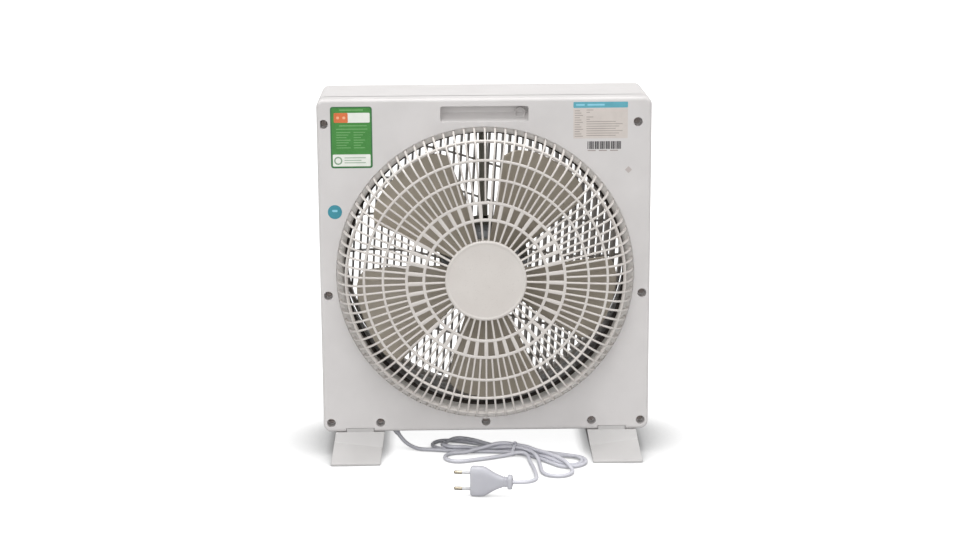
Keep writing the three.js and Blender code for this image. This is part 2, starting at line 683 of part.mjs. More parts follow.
function rearGuard() {
  const plateau = REAR_Z + GUARD_RISE;
  const lastFlatRing = GUARD_OUTER_RINGS[GUARD_OUTER_RINGS.length - 1] + 0.5;
  const dish = turned(
    [
      [0, plateau - GUARD_THICKNESS],
      [lastFlatRing - 0.8, plateau - GUARD_THICKNESS],
      [SHOULDER_RING_RADIUS - GUARD_RIM_THICKNESS, REAR_Z + SHOULDER_RING_RISE - 1.4],
      [GUARD_RADIUS - GUARD_RIM_THICKNESS, REAR_Z - 0.5],
      [INTAKE_RADIUS, REAR_Z - INTAKE_DEPTH],
      [INTAKE_RADIUS + INTAKE_WALL, REAR_Z - INTAKE_DEPTH],
      [FLANGE_RADIUS, FLANGE_FRONT_Z],
      [FLANGE_RADIUS, FLANGE_REAR_Z],
      [GUARD_RADIUS, FLANGE_REAR_Z],
      [GUARD_RADIUS, REAR_Z],
      [SHOULDER_RING_RADIUS, REAR_Z + SHOULDER_RING_RISE],
      [lastFlatRing, plateau],
      [0, plateau],
    ],
    FINE,
  );

  const cells = [];
  const half = RING_WIDTH / 2;
  const zones = [
    [INNER_RIB_COUNT, RIB_THICKNESS, GUARD_DISC_RADIUS, GUARD_INNER_RINGS[0] - half],
    [INNER_RIB_COUNT, WIDE_RIB_THICKNESS, GUARD_INNER_RINGS[0] + half, GUARD_INNER_RINGS[1] - half],
    [OUTER_RIB_COUNT, RIB_THICKNESS, GUARD_INNER_RINGS[1] + half, GUARD_OUTER_RINGS[0] - half],
    [OUTER_RIB_COUNT, RIB_THICKNESS, GUARD_OUTER_RINGS[0] + half, GUARD_OUTER_RINGS[1] - half],
    [OUTER_RIB_COUNT, RIB_THICKNESS, GUARD_OUTER_RINGS[1] + half, SHOULDER_RING_RADIUS - half],
    [OUTER_RIB_COUNT, RIB_THICKNESS, SHOULDER_RING_RADIUS + half, GUARD_RADIUS - 2.2],
  ];
  for (const [count, rib, inner, outer] of zones) {
    for (let index = 0; index < count; index++) {
      cells.push(guardCell(index, count, rib, inner, outer, REAR_Z + 0.1, plateau + 1));
    }
  }

  const ears = stakePlaces().map(({ angle }) => {
    const ear = new THREE.BoxGeometry(STAKE_EAR_LENGTH, STAKE_EAR_WIDTH, FLANGE_THICKNESS);
    ear.translate(STAKE_CIRCLE, 0, (FLANGE_FRONT_Z + FLANGE_REAR_Z) / 2);
    ear.rotateZ(radians(angle));
    ear.translate(0, AXIS_Y, 0);
    return toSolid(ear);
  });
  const stakeHoles = stakePlaces().map(({ x, y }) =>
    rod(STAKE_RADIUS + CLEARANCE, FLANGE_FRONT_Z - 1, FLANGE_REAR_Z + 1, x, y, COARSE),
  );
  const middleWell = COVER_SCREWS.find(({ x }) => x === 0);
  const notchRadius = WELL_RADIUS + WELL_WALL + CLEARANCE;
  const notch = rod(notchRadius, WELL_FLOOR_Z - HOUSING_WALL - 1, FLANGE_REAR_Z + 0.5, 0, middleWell.y);
  return cut(join([dish, ...ears]), [notch, ...stakeHoles, ...cells]);
}

// ---------------------------------------------------------------- screws

// A pan-head screw that goes in towards the front, its head seated at z.
function screw(x, y, seatZ, length = SCREW_LENGTH) {
  const head = seatZ + CLEARANCE;
  const shank = SCREW_SHANK_RADIUS;
  return turned(
    [
      [0, head - length],
      [shank, head - length + 2],
      [shank, head],
      [SCREW_HEAD_RADIUS, head],
      [SCREW_HEAD_RADIUS * 0.8, head + SCREW_HEAD_HEIGHT],
      [0, head + SCREW_HEAD_HEIGHT],
    ],
    COARSE,
    x,
    y,
  );
}

function bracketScrewPlaces() {
  const top = BRACKET_TOP_Y - BRACKET_FOOT_HEIGHT / 2;
  const bottom = BRACKET_BOTTOM_Y + BRACKET_FOOT_HEIGHT / 2;
  return [
    { name: "bracket_screw_top_left", x: -BRACKET_SCREW_X, y: top },
    { name: "bracket_screw_top_right", x: BRACKET_SCREW_X, y: top },
    { name: "bracket_screw_bottom_left", x: -BRACKET_SCREW_X, y: bottom },
    { name: "bracket_screw_bottom_right", x: BRACKET_SCREW_X, y: bottom },
  ];
}

// ---------------------------------------------------------------- feet

// Half of a foot, from the housing's middle to its toe, as rings of four corners: each station
// gives the top's height, and the side walls lean outboard towards the sole.
function footForm(side, inset) {
  const stations = [
    { z: 0, inner: 1, outer: 1 },
    { z: REAR_Z, inner: 1, outer: 1 },
    { z: REAR_Z + FOOT_REACH * 0.2, inner: 0.42, outer: 0.68 },
    { z: REAR_Z + FOOT_REACH, inner: FOOT_TOE / HOUSING_LIFT, outer: FOOT_TOE / HOUSING_LIFT },
  ];
  const ends = [];
  for (const direction of [-1, 1]) {
    for (const station of stations) {
      if (direction > 0 && station.z === 0) continue;
      ends.push({ ...station, z: direction * station.z });
    }
  }
  ends.sort((a, b) => a.z - b.z);
  const top = HOUSING_LIFT - CLEARANCE;
  const form = new THREE.BoxGeometry(1, 1, 1, 1, 1, ends.length - 1);
  const position = form.getAttribute("position");
  const last = ends.length - 1;
  for (let i = 0; i < position.count; i++) {
    const station = ends[Math.round((position.getZ(i) + 0.5) * last)];
    const outboard = position.getX(i) > 0;
    const upper = position.getY(i) > 0;
    const height = upper ? top * (outboard ? station.outer : station.inner) - inset : 0;
    const splay = FOOT_SPLAY * (1 - height / top);
    const halfWidth = FOOT_WIDTH / 2 - inset;
    const across = FOOT_X + splay + (outboard ? halfWidth : -halfWidth);
    const atEnd = Math.abs(station.z) > REAR_Z + FOOT_REACH / 2;
    const reach = station.z - (atEnd ? Math.sign(station.z) * inset * 2 : 0);
    position.setXYZ(i, across, Math.max(height, upper ? 0.4 : 0), reach);
  }
  if (side < 0) form.rotateY(Math.PI);
  return toSolid(form);
}

function foot(side) {
  const middle = side * FOOT_X;
  const soleX = side * (FOOT_X + FOOT_SPLAY);
  const pocketReach = REAR_Z + FOOT_REACH;
  const hollow = cut(footForm(side, FOOT_WALL), [
    block(-SIDE_X * 2, SIDE_X * 2, -1, HOUSING_LIFT, -FOOT_BRIDGE / 2, FOOT_BRIDGE / 2),
    block(soleX - FOOT_WALL / 2, soleX + FOOT_WALL / 2, -1, HOUSING_LIFT, -pocketReach, pocketReach),
  ]);
  const below = block(-SIDE_X * 2, SIDE_X * 2, -1, HOUSING_LIFT, -pocketReach, pocketReach);
  const tongues = [-1, 1].map((end) => {
    const outer = end * (REAR_Z - CLEARANCE);
    const inner = end * (REAR_Z - TONGUE_DEPTH);
    return block(
      middle - TONGUE_WIDTH / 2,
      middle + TONGUE_WIDTH / 2,
      HOUSING_LIFT - FOOT_WALL,
      HOUSING_LIFT + TONGUE_HEIGHT,
      Math.min(outer, inner),
      Math.max(outer, inner),
    );
  });
  return cut(join([footForm(side, 0), ...tongues]), [hollow.intersect(below)]);
}

// ---------------------------------------------------------------- impeller

// One blade: a flat grid bent to its span, its pitch and a shallow camber.
function blade(index) {
  const form = new THREE.BoxGeometry(1, 1, 1, 4, 5, 1);
  const position = form.getAttribute("position");
  const root = HUB_RADIUS - HUB_WALL / 2;
  for (let i = 0; i < position.count; i++) {
    const outward = position.getX(i) + 0.5;
    const chord = position.getY(i) + 0.5; // 0 at the leading edge
    const side = position.getZ(i);
    const rounding = BLADE_TIP_ROUNDING * Math.pow(Math.abs(2 * chord - 1), 5);
    const radius = root + (BLADE_TIP_RADIUS * (1 - rounding) - root) * outward;
    const span = BLADE_ROOT_SPAN + (BLADE_TIP_SPAN - BLADE_ROOT_SPAN) * outward;
    const angle = radians(BLADE_LEADING_ANGLE - (360 / BLADE_COUNT) * index - span * chord);
    const rearEdge = BLADE_REAR_Z - BLADE_ROOT_DROP * (1 - outward);
    const pitch = rearEdge + (BLADE_FRONT_Z - rearEdge) * chord;
    const camber = BLADE_CAMBER * Math.sin(Math.PI * chord) * outward;
    position.setXYZ(
      i,
      radius * Math.cos(angle),
      AXIS_Y + radius * Math.sin(angle),
      pitch - camber - side * BLADE_THICKNESS,
    );
  }
  return toSolid(form);
}

function impeller() {
  const front = HUB_REAR_Z - HUB_LENGTH;
  const hub = turned(
    [
      [SHAFT_RADIUS + CLEARANCE, front + 8],
      [SHAFT_RADIUS + CLEARANCE, HUB_REAR_Z],
      [HUB_RADIUS - 3, HUB_REAR_Z],
      [HUB_RADIUS, HUB_REAR_Z - 3],
      [HUB_RADIUS, front],
      [HUB_RADIUS - HUB_WALL, front],
      [HUB_RADIUS - HUB_WALL, HUB_REAR_Z - HUB_WALL],
      [HUB_CORE_RADIUS, HUB_REAR_Z - HUB_WALL],
      [HUB_CORE_RADIUS, front + 8],
    ].reverse(),
    MEDIUM,
  );
  const blades = [];
  for (let index = 0; index < BLADE_COUNT; index++) blades.push(blade(index));
  return join([hub, ...blades]);
}

// The nut that holds the impeller on the shaft's thread.
function impellerNut() {
  const seat = HUB_REAR_Z + CLEARANCE;
  const body = turned(
    [
      [SHAFT_RADIUS + CLEARANCE, seat],
      [SHAFT_RADIUS + CLEARANCE, seat + 8],
      [0, seat + 8],
      [0, seat + 10],
      [7, seat + 10],
      [10, seat + 3],
      [12, seat],
    ].reverse(),
    SMALL,
  );
  return body;
}

// ---------------------------------------------------------------- motor

function motorShell(endZ, splitZ) {
  const outward = Math.sign(endZ - splitZ);
  const inner = endZ - outward * MOTOR_WALL;
  const seat = BEARING_RADIUS + CLEARANCE;
  const seatDepth = endZ - outward * (BEARING_LENGTH + MOTOR_WALL);
  const outline = [
    [SHAFT_RADIUS + 1, endZ],
    [SHAFT_RADIUS + 1, inner],
    [seat, inner],
    [seat, seatDepth],
    [seat + MOTOR_WALL, seatDepth],
    [seat + MOTOR_WALL, inner],
    [MOTOR_RADIUS - MOTOR_WALL - 4, inner],
    [MOTOR_RADIUS - MOTOR_WALL, inner - outward * 4],
    [MOTOR_RADIUS - MOTOR_WALL, splitZ],
    [MOTOR_RADIUS, splitZ],
    [MOTOR_RADIUS, endZ - outward * 5],
    [MOTOR_RADIUS - 5, endZ],
  ];
  const ordered = outward > 0 ? outline : outline.reverse();
  const can = turned(ordered, MEDIUM);
  const low = Math.min(endZ, splitZ);
  const high = Math.max(endZ, splitZ);
  const hollow = rod(MOTOR_RADIUS - MOTOR_WALL, low - 1, high + 1, 0, AXIS_Y, MEDIUM);
  const reach = MOTOR_BOLT_CIRCLE + MOTOR_EAR;
  const ears = block(-reach, reach, AXIS_Y - MOTOR_EAR, AXIS_Y + MOTOR_EAR, low, high).subtract(hollow);
  const holes = motorBoltPlaces().map(({ x, y }) =>
    rod(MOTOR_BOLT_RADIUS + CLEARANCE, low - 1, high + 1, x, y, COARSE),
  );
  return cut(can.add(ears), holes);
}

function motorBoltPlaces() {
  return [
    { name: "motor_bolt_left", x: -MOTOR_BOLT_CIRCLE, y: AXIS_Y },
    { name: "motor_bolt_right", x: MOTOR_BOLT_CIRCLE, y: AXIS_Y },
  ];
}

function motorBolt({ x, y }) {
  const front = BRACKET_FRONT_Z - CLEARANCE;
  const nutFront = MOTOR_REAR_Z + CLEARANCE;
  const nutRear = nutFront + BOLT_NUT_HEIGHT;
  return turned(
    [
      [0, front - BOLT_HEAD_HEIGHT],
      [BOLT_HEAD_RADIUS, front - BOLT_HEAD_HEIGHT],
      [BOLT_HEAD_RADIUS, front],
      [MOTOR_BOLT_RADIUS, front],
      [MOTOR_BOLT_RADIUS, nutFront],
      [BOLT_NUT_RADIUS, nutFront],
      [BOLT_NUT_RADIUS, nutRear],
      [0, nutRear],
    ],
    COARSE,
    x,
    y,
  );
}

function ring(inner, outer, z0, z1, sides) {
  return turned(
    [
      [inner, z0],
      [outer, z0],
      [outer, z1],
      [inner, z1],
    ],
    sides,
  );
}

const MOTOR_MID_Z = (MOTOR_REAR_Z + MOTOR_FRONT_Z) / 2;

// ---------------------------------------------------------------- bracket

function motorBracket() {
  const halfFoot = BRACKET_FOOT_WIDTH / 2;
  const half = BRACKET_WIDTH / 2;
  const feet = [
    [BRACKET_TOP_Y - BRACKET_FOOT_HEIGHT, BRACKET_TOP_Y],
    [BRACKET_BOTTOM_Y, BRACKET_BOTTOM_Y + BRACKET_FOOT_HEIGHT],
  ].map(([y0, y1]) => block(-halfFoot, halfFoot, y0, y1, BRACKET_FRONT_Z, BRACKET_REAR_Z));
  const strap = block(-half, half, BRACKET_BOTTOM_Y, BRACKET_TOP_Y, BRACKET_FRONT_Z, BRACKET_REAR_Z);
  const plate = rod(BRACKET_PLATE_RADIUS, BRACKET_FRONT_Z, BRACKET_REAR_Z, 0, AXIS_Y, MEDIUM);
  const flangeEnds = [
    [BRACKET_BOTTOM_Y + BRACKET_FOOT_HEIGHT + 10, AXIS_Y - BRACKET_PLATE_RADIUS - 2],
    [AXIS_Y + BRACKET_PLATE_RADIUS + 2, BRACKET_TOP_Y - BRACKET_FOOT_HEIGHT - 6],
  ];
  const flanges = [];
  for (const [y0, y1] of flangeEnds) {
    for (const x of [-half, half - BRACKET_THICKNESS]) {
      flanges.push(
        block(x, x + BRACKET_THICKNESS, y0, y1, BRACKET_FRONT_Z, BRACKET_FRONT_Z + BRACKET_FLANGE),
      );
    }
  }
  const holes = [...bracketScrewPlaces(), ...motorBoltPlaces()].map(({ x, y }) =>
    rod(MOTOR_BOLT_RADIUS + CLEARANCE, BRACKET_FRONT_Z - 1, BRACKET_REAR_Z + 1, x, y, COARSE),
  );
  const shaftHole = rod(SHAFT_RADIUS + 2, BRACKET_FRONT_Z - 1, BRACKET_REAR_Z + 1, 0, AXIS_Y);
  return cut(join([strap, plate, ...feet, ...flanges]), [...holes, shaftHole]);
}

// ---------------------------------------------------------------- louvre wheel

function louvreWheel() {
  const rimInner = LOUVRE_RADIUS - LOUVRE_RIM_WALL;
  const rim = ring(rimInner, LOUVRE_RADIUS, LOUVRE_FRONT_Z, LOUVRE_REAR_Z, ROUND);
  const pieces = [rim];
  const count = Math.floor((rimInner - SLAT_PITCH / 2) / SLAT_PITCH);
  for (let index = -count; index <= count; index++) {
    const x = index * SLAT_PITCH;
    const across = x / rimInner;
    const lean = SLAT_LEAN * (1 + across + across ** 2);
    const swing = (SLAT_DEPTH / 2) * Math.sin(radians(lean)) + SLAT_THICKNESS;
    const reach = Math.abs(x) + swing;
    const half = Math.sqrt(Math.max(rimInner + 2, reach) ** 2 - reach ** 2);
    if (half < SLAT_PITCH) continue;
    const slat = new THREE.BoxGeometry(SLAT_THICKNESS, 2 * half, SLAT_DEPTH);
    slat.rotateY(radians(lean));
    slat.translate(x, AXIS_Y, LOUVRE_MID_Z);
    pieces.push(toSolid(slat));
  }
  const hub = rod(LOUVRE_HUB_RADIUS, LOUVRE_FRONT_Z, LOUVRE_REAR_Z, 0, AXIS_Y, MEDIUM);
  const bore = rod(LOUVRE_SHAFT_RADIUS + CLEARANCE, LOUVRE_FRONT_Z + 4, LOUVRE_REAR_Z + 1, 0, AXIS_Y);
  const wheel = cut(join([...pieces, hub]), [bore]);
  return turnedAboutAxis(wheel, LOUVRE_TURN);
}

function turnedAboutAxis(solid, angle) {
  const geometry = toGeometry(solid);
  geometry.translate(0, -AXIS_Y, 0);
  geometry.rotateZ(radians(angle));
  geometry.translate(0, AXIS_Y, 0);
  return toSolid(geometry);
}

function louvreMotor() {
  const rear = LOUVRE_MOTOR_REAR_Z;
  const front = LOUVRE_MOTOR_FRONT_Z;
  const can = rod(LOUVRE_MOTOR_RADIUS, front, rear, 0, AXIS_Y, MEDIUM);
  const bore = rod(LOUVRE_SHAFT_RADIUS + CLEARANCE, front - 1, front + 10, 0, AXIS_Y);
  const relief = rod(SHAFT_RADIUS + 2, rear - 3, rear + 1, 0, AXIS_Y);
  return cut(can, [bore, relief]);
}

function louvreCap() {
  const rear = LOUVRE_FRONT_Z - CLEARANCE;
  return turned(
    [
      [0, rear - LOUVRE_CAP_THICKNESS - 1],
      [LOUVRE_CAP_RADIUS * 0.6, rear - LOUVRE_CAP_THICKNESS],
      [LOUVRE_CAP_RADIUS, rear - 1.2],
      [LOUVRE_CAP_RADIUS, rear],
      [0, rear],
    ],
    MEDIUM,
  );
}

// ---------------------------------------------------------------- controls

function knob(x, y) {
  const base = FRONT_Z - CLEARANCE;
  const skirt = turned(
    [
      [0, base - KNOB_BASE_HEIGHT],
      [KNOB_RADIUS - 1.5, base - KNOB_BASE_HEIGHT],
      [KNOB_RADIUS, base - KNOB_BASE_HEIGHT + 1.5],
      [KNOB_RADIUS, base],
      [0, base],
    ],
    MEDIUM,
    x,
    y,
  );
  const half = KNOB_GRIP_WIDTH / 2;
  const grip = slab(
    roundedRectangle(KNOB_GRIP_WIDTH, 2 * KNOB_RADIUS - 4, half - 0.5, x, y),
    base - KNOB_HEIGHT,
    base - KNOB_BASE_HEIGHT + 0.5,
    2,
  );
  const socket = rod(SPINDLE_RADIUS + CLEARANCE, base - KNOB_HEIGHT + 4, base + 1, x, y);
  return join([skirt, grip]).subtract(socket);
}

function spindle(x, y, depth) {
  const rear = INNER_FRONT_Z + CLEARANCE + depth / 2;
  return rod(SPINDLE_RADIUS, FRONT_Z - KNOB_HEIGHT + 4.5, rear, x, y);
}

function controlBox(x, y, size, depth) {
  const front = INNER_FRONT_Z + CLEARANCE;
  const half = size / 2;
  const body = block(x - half, x + half, y - half, y + half, front, front + depth);
  const bore = rod(SPINDLE_RADIUS + CLEARANCE, front - 1, front + depth / 2 + 1, x, y);
  return body.subtract(bore);
}

function rockerBody() {
  const face = FRONT_Z - CLEARANCE;
  const halfWidth = ROCKER_WIDTH / 2;
  const halfHeight = ROCKER_HEIGHT / 2;
  const bezel = block(
    ROCKER_X - halfWidth - BEZEL_BORDER,
    ROCKER_X + halfWidth + BEZEL_BORDER,
    ROCKER_Y - halfHeight - BEZEL_BORDER,
    ROCKER_Y + halfHeight + BEZEL_BORDER,
    face - BEZEL_THICKNESS,
    face,
  );
  const body = block(
    ROCKER_X - halfWidth,
    ROCKER_X + halfWidth,
    ROCKER_Y - halfHeight,
    ROCKER_Y + halfHeight,
    face - 1,
    face + ROCKER_BODY_DEPTH,
  );
  const well = block(
    ROCKER_X - halfWidth + 2,
    ROCKER_X + halfWidth - 2,
    ROCKER_Y - halfHeight + 1.5,
    ROCKER_Y + halfHeight - 1.5,
    face - BEZEL_THICKNESS - 1,
    face + 6,
  );
  return join([bezel, body]).subtract(well);
}

// The rocker key tips about a line along x and rests with its lower end pressed in.
function rockerKey() {
  const width = ROCKER_WIDTH - 4 - 2 * CLEARANCE;
  const half = ROCKER_HEIGHT / 2 - 1.5 - 0.7;
  const face = FRONT_Z - CLEARANCE;
  const pivot = new THREE.Vector2(face + ROCKER_PIVOT_DEPTH, 0);
  const outline = [
    [face - BEZEL_THICKNESS - 2.6, -half + 0.4],
    [face - BEZEL_THICKNESS - 1.4, 0],
    [face - BEZEL_THICKNESS - 2.6, half - 0.4],
    [face + 0.5, half],
    [face + 4, half * 0.45],
    [face + 4, -half * 0.45],
    [face + 0.5, -half],
  ].map(([z, y]) => {
    const point = new THREE.Vector2(z, y).rotateAround(pivot, radians(ROCKER_TILT));
    return [point.x, ROCKER_Y + point.y];
  });
  return sideSlab(outline, ROCKER_X - width / 2, ROCKER_X + width / 2);
}

// ---------------------------------------------------------------- electrics

function capacitor() {
  const [length, height, depth] = CAPACITOR_SIZE;
  const seat = FLOOR_Y + CLEARANCE;
  return block(
    CAPACITOR_X - length / 2,
    CAPACITOR_X + length / 2,
    seat,
    seat + height,
    -depth / 2,
    depth / 2,
  );
}

function terminalBlock() {
  const [length, height, depth] = TERMINAL_SIZE;
  const seat = FLOOR_Y + CLEARANCE;
  const body = block(
    TERMINAL_X - length / 2,
    TERMINAL_X + length / 2,
    seat,
    seat + height,
    -depth / 2,
    depth / 2,
  );
  const pitch = length / 3;
  const slots = [-1, 1].map((side) => {
    const x = TERMINAL_X + (side * pitch) / 2;
    return block(x - 1, x + 1, seat + height * 0.55, seat + height + 1, -depth, depth);
  });
  return cut(body, slots);
}

// ---------------------------------------------------------------- mains cord

function strainRelief() {
  const outer = bar(...reliefLine(0, RELIEF_OUTSIDE), RELIEF_RADIUS, RELIEF_TIP_RADIUS, COARSE);
  const inner = bar(...reliefLine(-RELIEF_INSIDE, 1), RELIEF_RADIUS, RELIEF_RADIUS, COARSE);
  const flange = new THREE.CylinderGeometry(RELIEF_FLANGE_RADIUS, RELIEF_FLANGE_RADIUS, 2, COARSE);
  flange.translate(CORD_EXIT_X, BASE_Y - CLEARANCE - 1, CORD_EXIT_Z);
  const bore = bar(...reliefLine(-RELIEF_INSIDE - 1, RELIEF_OUTSIDE + 1), CORD_RADIUS + CLEARANCE, CORD_RADIUS + CLEARANCE);
  return cut(join([outer, inner, toSolid(flange)]), [bore]);
}

// A cord along hand-chosen points.
function cordTube(route, steps) {
  const points = route.map(([x, y, z]) => new THREE.Vector3(CORD_EXIT_X + x, y, CORD_EXIT_Z + z));
  const line = new THREE.CatmullRomCurve3(points);
  const sides = 8;
  const section = new THREE.Shape();
  section.absarc(0, 0, CORD_RADIUS, 0, 2 * Math.PI);
  const options = { steps, extrudePath: line, curveSegments: sides / 2, bevelEnabled: false };
  return toSolid(new THREE.ExtrudeGeometry(section, options));
}

// Routes are [x, y, z], with x and z measured from where the cord leaves the housing.
const LEAD_ROUTE = [
  [3.4, 25.2, 0],
  [6.3, 21, 0],
  [9.2, 16.8, 0.1],
  [12.5, 12.3, 0.6],
  [16.8, 8, 2.2],
  [22.5, 4.6, 5.2],
  [29.5, CORD_FLOOR_Y + 0.3, 9.6],
  [36, CORD_FLOOR_Y, 13.6],
  [48.4, CORD_FLOOR_Y, 15.9],
];

const TAIL_ROUTE = [
  [165.4, CORD_FLOOR_Y, 70.7],
  [166.4, CORD_FLOOR_Y + 0.2, 77],
  [167.4, CORD_FLOOR_Y + 1, 86],
  [168, 5, 97],
  [168.3, 7.6, 112],
  [168, 10.4, 130],
  [166.4, 13.2, 148],
  [163.6, 15.4, 164],
  [158.6, 16.9, 176],
  [150, 17.5, 184.2],
  [136.4, 17.65, 184.1],
];

// The hank's outline on the floor as [x, z]: two fanned ends and a waist where it is tied.
const HANK_OUTLINE = [
  [49.8, 15.5],
  [46, 7.5],
  [43.4, -3],
  [45.5, -13],
  [53, -21.5],
  [65, -24.8],
  [78, -22.5],
  [88, -20.6],
  [103, -13],
  [122, -2.5],
  [142, 7.5],
  [160, 15],
  [178, 22.5],
  [194, 29],
  [208, 36.5],
  [221, 44],
  [231, 53],
  [236.6, 64],
  [235.5, 77],
  [228, 87.5],
  [221.5, 94],
  [219, 104],
  [216.5, 113],
  [208.5, 122.5],
  [195, 126],
  [181.5, 121.5],
  [174.5, 113],
  [171.2, 101],
  [170.6, 85],
  [169.6, 70.5],
  [165.5, 67.8],
  [160.3, 66.5],
  [158.4, 55],
  [153, 44.2],
  [145.5, 40.8],
  [138, 43.4],
  [122, 53.5],
  [106, 61.5],
  [90, 66.8],
  [74, 66.6],
  [63.5, 58],
  [58.8, 46],
  [59.6, 33],
  [61, 26],
  [53, 20.5],
];

function cordHank() {
  const curve = new THREE.CatmullRomCurve3(
    HANK_OUTLINE.map(([x, z]) => new THREE.Vector3(CORD_EXIT_X + x, -CORD_EXIT_Z - z, 0)),
    true,
  );
  const points = curve.getPoints(60).slice(0, -1);
  const shape = new THREE.Shape(points.map((p) => new THREE.Vector2(p.x, p.y)));
  const options = { depth: HANK_TOP - HANK_BOTTOM, bevelEnabled: false };
  const geometry = new THREE.ExtrudeGeometry(shape, options);
  geometry.rotateX(-Math.PI / 2);
  geometry.translate(0, HANK_BOTTOM, 0);
  return toSolid(geometry);
}

// A band around the hank's waist.
function cordTie() {
  const bottom = HANK_BOTTOM - CLEARANCE - TIE_BAND;
  const top = HANK_TOP + CLEARANCE + TIE_BAND;
  const half = WAIST_WIDTH / 2;
  const outer = new THREE.BoxGeometry(TIE_BAND_WIDTH, top - bottom, 2 * (half + TIE_BAND));
  const inner = new THREE.BoxGeometry(TIE_BAND_WIDTH + 2, top - bottom - 2 * TIE_BAND, 2 * half);
  const [placedOuter, placedInner] = [outer, inner].map((geometry) => {
    geometry.rotateY(radians(WAIST_TURN));
    geometry.translate(WAIST_X, (bottom + top) / 2, WAIST_Z);
    return toSolid(geometry);
  });
  return placedOuter.subtract(placedInner);
}

// ---------------------------------------------------------------- plug

const PLUG_PLACE = { x: CORD_EXIT_X + 93, y: PLUG_WIDTH / 2 + PLUS_HALF, z: CORD_EXIT_Z + 178 };

function placePlugPiece(geometry) {
  geometry.rotateY(radians(PLUG_YAW));
  geometry.translate(PLUG_PLACE.x, PLUG_PLACE.y, PLUG_PLACE.z);
  return toSolid(geometry);
}

// The body stands on its narrow edge: its face with the pins looks to -x.
function plugBody() {
  const half = PLUG_WIDTH / 2;
  const neck = PLUG_NECK_WIDTH / 2;
  const collar = PLUG_COLLAR_WIDTH / 2;
  const shoulderX = PLUG_SHOULDER_LENGTH;
  const neckX = PLUG_LENGTH - PLUG_NECK_LENGTH;
  const collarX = PLUG_LENGTH - PLUG_COLLAR_LENGTH;
  const waist = (neckX - shoulderX) / 4;
  const shape = new THREE.Shape();
  shape.moveTo(0, -half + 3);
  shape.quadraticCurveTo(0.5, -half, 4, -half);
  shape.lineTo(shoulderX, -half);
  shape.bezierCurveTo(shoulderX + waist, -half + 1, shoulderX + 2 * waist, -neck - 1.5, neckX, -neck - 0.5);
  shape.lineTo(collarX - 1, -neck);
  shape.lineTo(collarX, -collar);
  shape.lineTo(PLUG_LENGTH - 1, -collar);
  shape.lineTo(PLUG_LENGTH, -neck);
  shape.lineTo(PLUG_LENGTH, neck);
  shape.lineTo(PLUG_LENGTH - 1, collar);
  shape.lineTo(collarX, collar);
  shape.lineTo(collarX - 1, neck);
  shape.lineTo(neckX, neck + 0.5);
  shape.bezierCurveTo(shoulderX + 2 * waist, neck + 1.5, shoulderX + waist, half - 1, shoulderX, half);
  shape.lineTo(4, half);
  shape.quadraticCurveTo(0.5, half, 0, half - 3);
  const inset = PLUG_EDGE_ROUNDING;
  const geometry = new THREE.ExtrudeGeometry(shape, {
    depth: PLUG_THICKNESS - 2 * inset,
    bevelThickness: inset,
    bevelSize: inset,
    bevelOffset: -inset,
    bevelSegments: 1,
    curveSegments: 3,
  });
  geometry.translate(0, 0, -PLUG_THICKNESS / 2 + inset);
  const body = placePlugPiece(geometry);
  const bores = [-1, 1].map((side) => plugPin(side, CLEARANCE, 0));
  const boreRadius = CORD_RADIUS + CLEARANCE;
  const cordBore = new THREE.CylinderGeometry(boreRadius, boreRadius, 2 * PLUG_CORD_SOCKET, SMALL);
  cordBore.rotateZ(Math.PI / 2);
  cordBore.translate(PLUG_LENGTH, 0, 0);
  return cut(body, [...bores, placePlugPiece(cordBore)]);
}

function plugPin(side, extra, endGap) {
  const length = PIN_LENGTH + PIN_ROOT;
  const pin = new THREE.CylinderGeometry(PIN_RADIUS + extra, PIN_RADIUS + extra, length + 2 * extra, SMALL);
  pin.rotateZ(Math.PI / 2);
  pin.translate(length / 2 - PIN_LENGTH - endGap, (side * PIN_SPACING) / 2, 0);
  return placePlugPiece(pin);
}

// ---------------------------------------------------------------- the whole fan

add("front_housing", frontHousing(), whitePlastic);
add("rear_cover", rearCover(), whitePlastic);
add("rear_guard", rearGuard(), whitePlastic);
COVER_SCREWS.forEach(({ x, y }, index) => {
  add(`cover_screw_${index + 1}`, screw(x, y, WELL_FLOOR_Z), zincSteel);
});
add("handle_screw", screw(POCKET_SCREW_X, POCKET_SCREW_Y, POCKET_WELL_FLOOR_Z), zincSteel);
add("foot_left", foot(-1), footPlastic);
add("foot_right", foot(1), footPlastic);

add("motor_bracket", motorBracket(), zincSteel);
for (const place of bracketScrewPlaces()) {
  add(place.name, screw(place.x, place.y, BRACKET_REAR_Z, 12), zincSteel);
}
add("motor_front_shell", motorShell(MOTOR_FRONT_Z, MOTOR_SPLIT_Z), motorPaint);
add("motor_rear_shell", motorShell(MOTOR_REAR_Z, MOTOR_SPLIT_Z + CLEARANCE), motorPaint);
for (const place of motorBoltPlaces()) {
  add(place.name, motorBolt(place), zincSteel);
}
const statorOuter = MOTOR_RADIUS - MOTOR_WALL - CLEARANCE;
const statorZ = [MOTOR_MID_Z - STATOR_HALF_LENGTH, MOTOR_MID_Z + STATOR_HALF_LENGTH];
add("motor_stator", ring(STATOR_INNER_RADIUS, statorOuter, ...statorZ, MEDIUM), laminations);
add("motor_rotor", ring(SHAFT_RADIUS + CLEARANCE, STATOR_INNER_RADIUS - AIR_GAP, ...statorZ, MEDIUM), laminations);
const bearingInner = SHAFT_RADIUS + CLEARANCE;
const rearBearing = MOTOR_REAR_Z - MOTOR_WALL - CLEARANCE;
const frontBearing = MOTOR_FRONT_Z + MOTOR_WALL + CLEARANCE;
add("rear_bearing", ring(bearingInner, BEARING_RADIUS, rearBearing - BEARING_LENGTH, rearBearing, SMALL), bronze);
add("front_bearing", ring(bearingInner, BEARING_RADIUS, frontBearing, frontBearing + BEARING_LENGTH, SMALL), bronze);
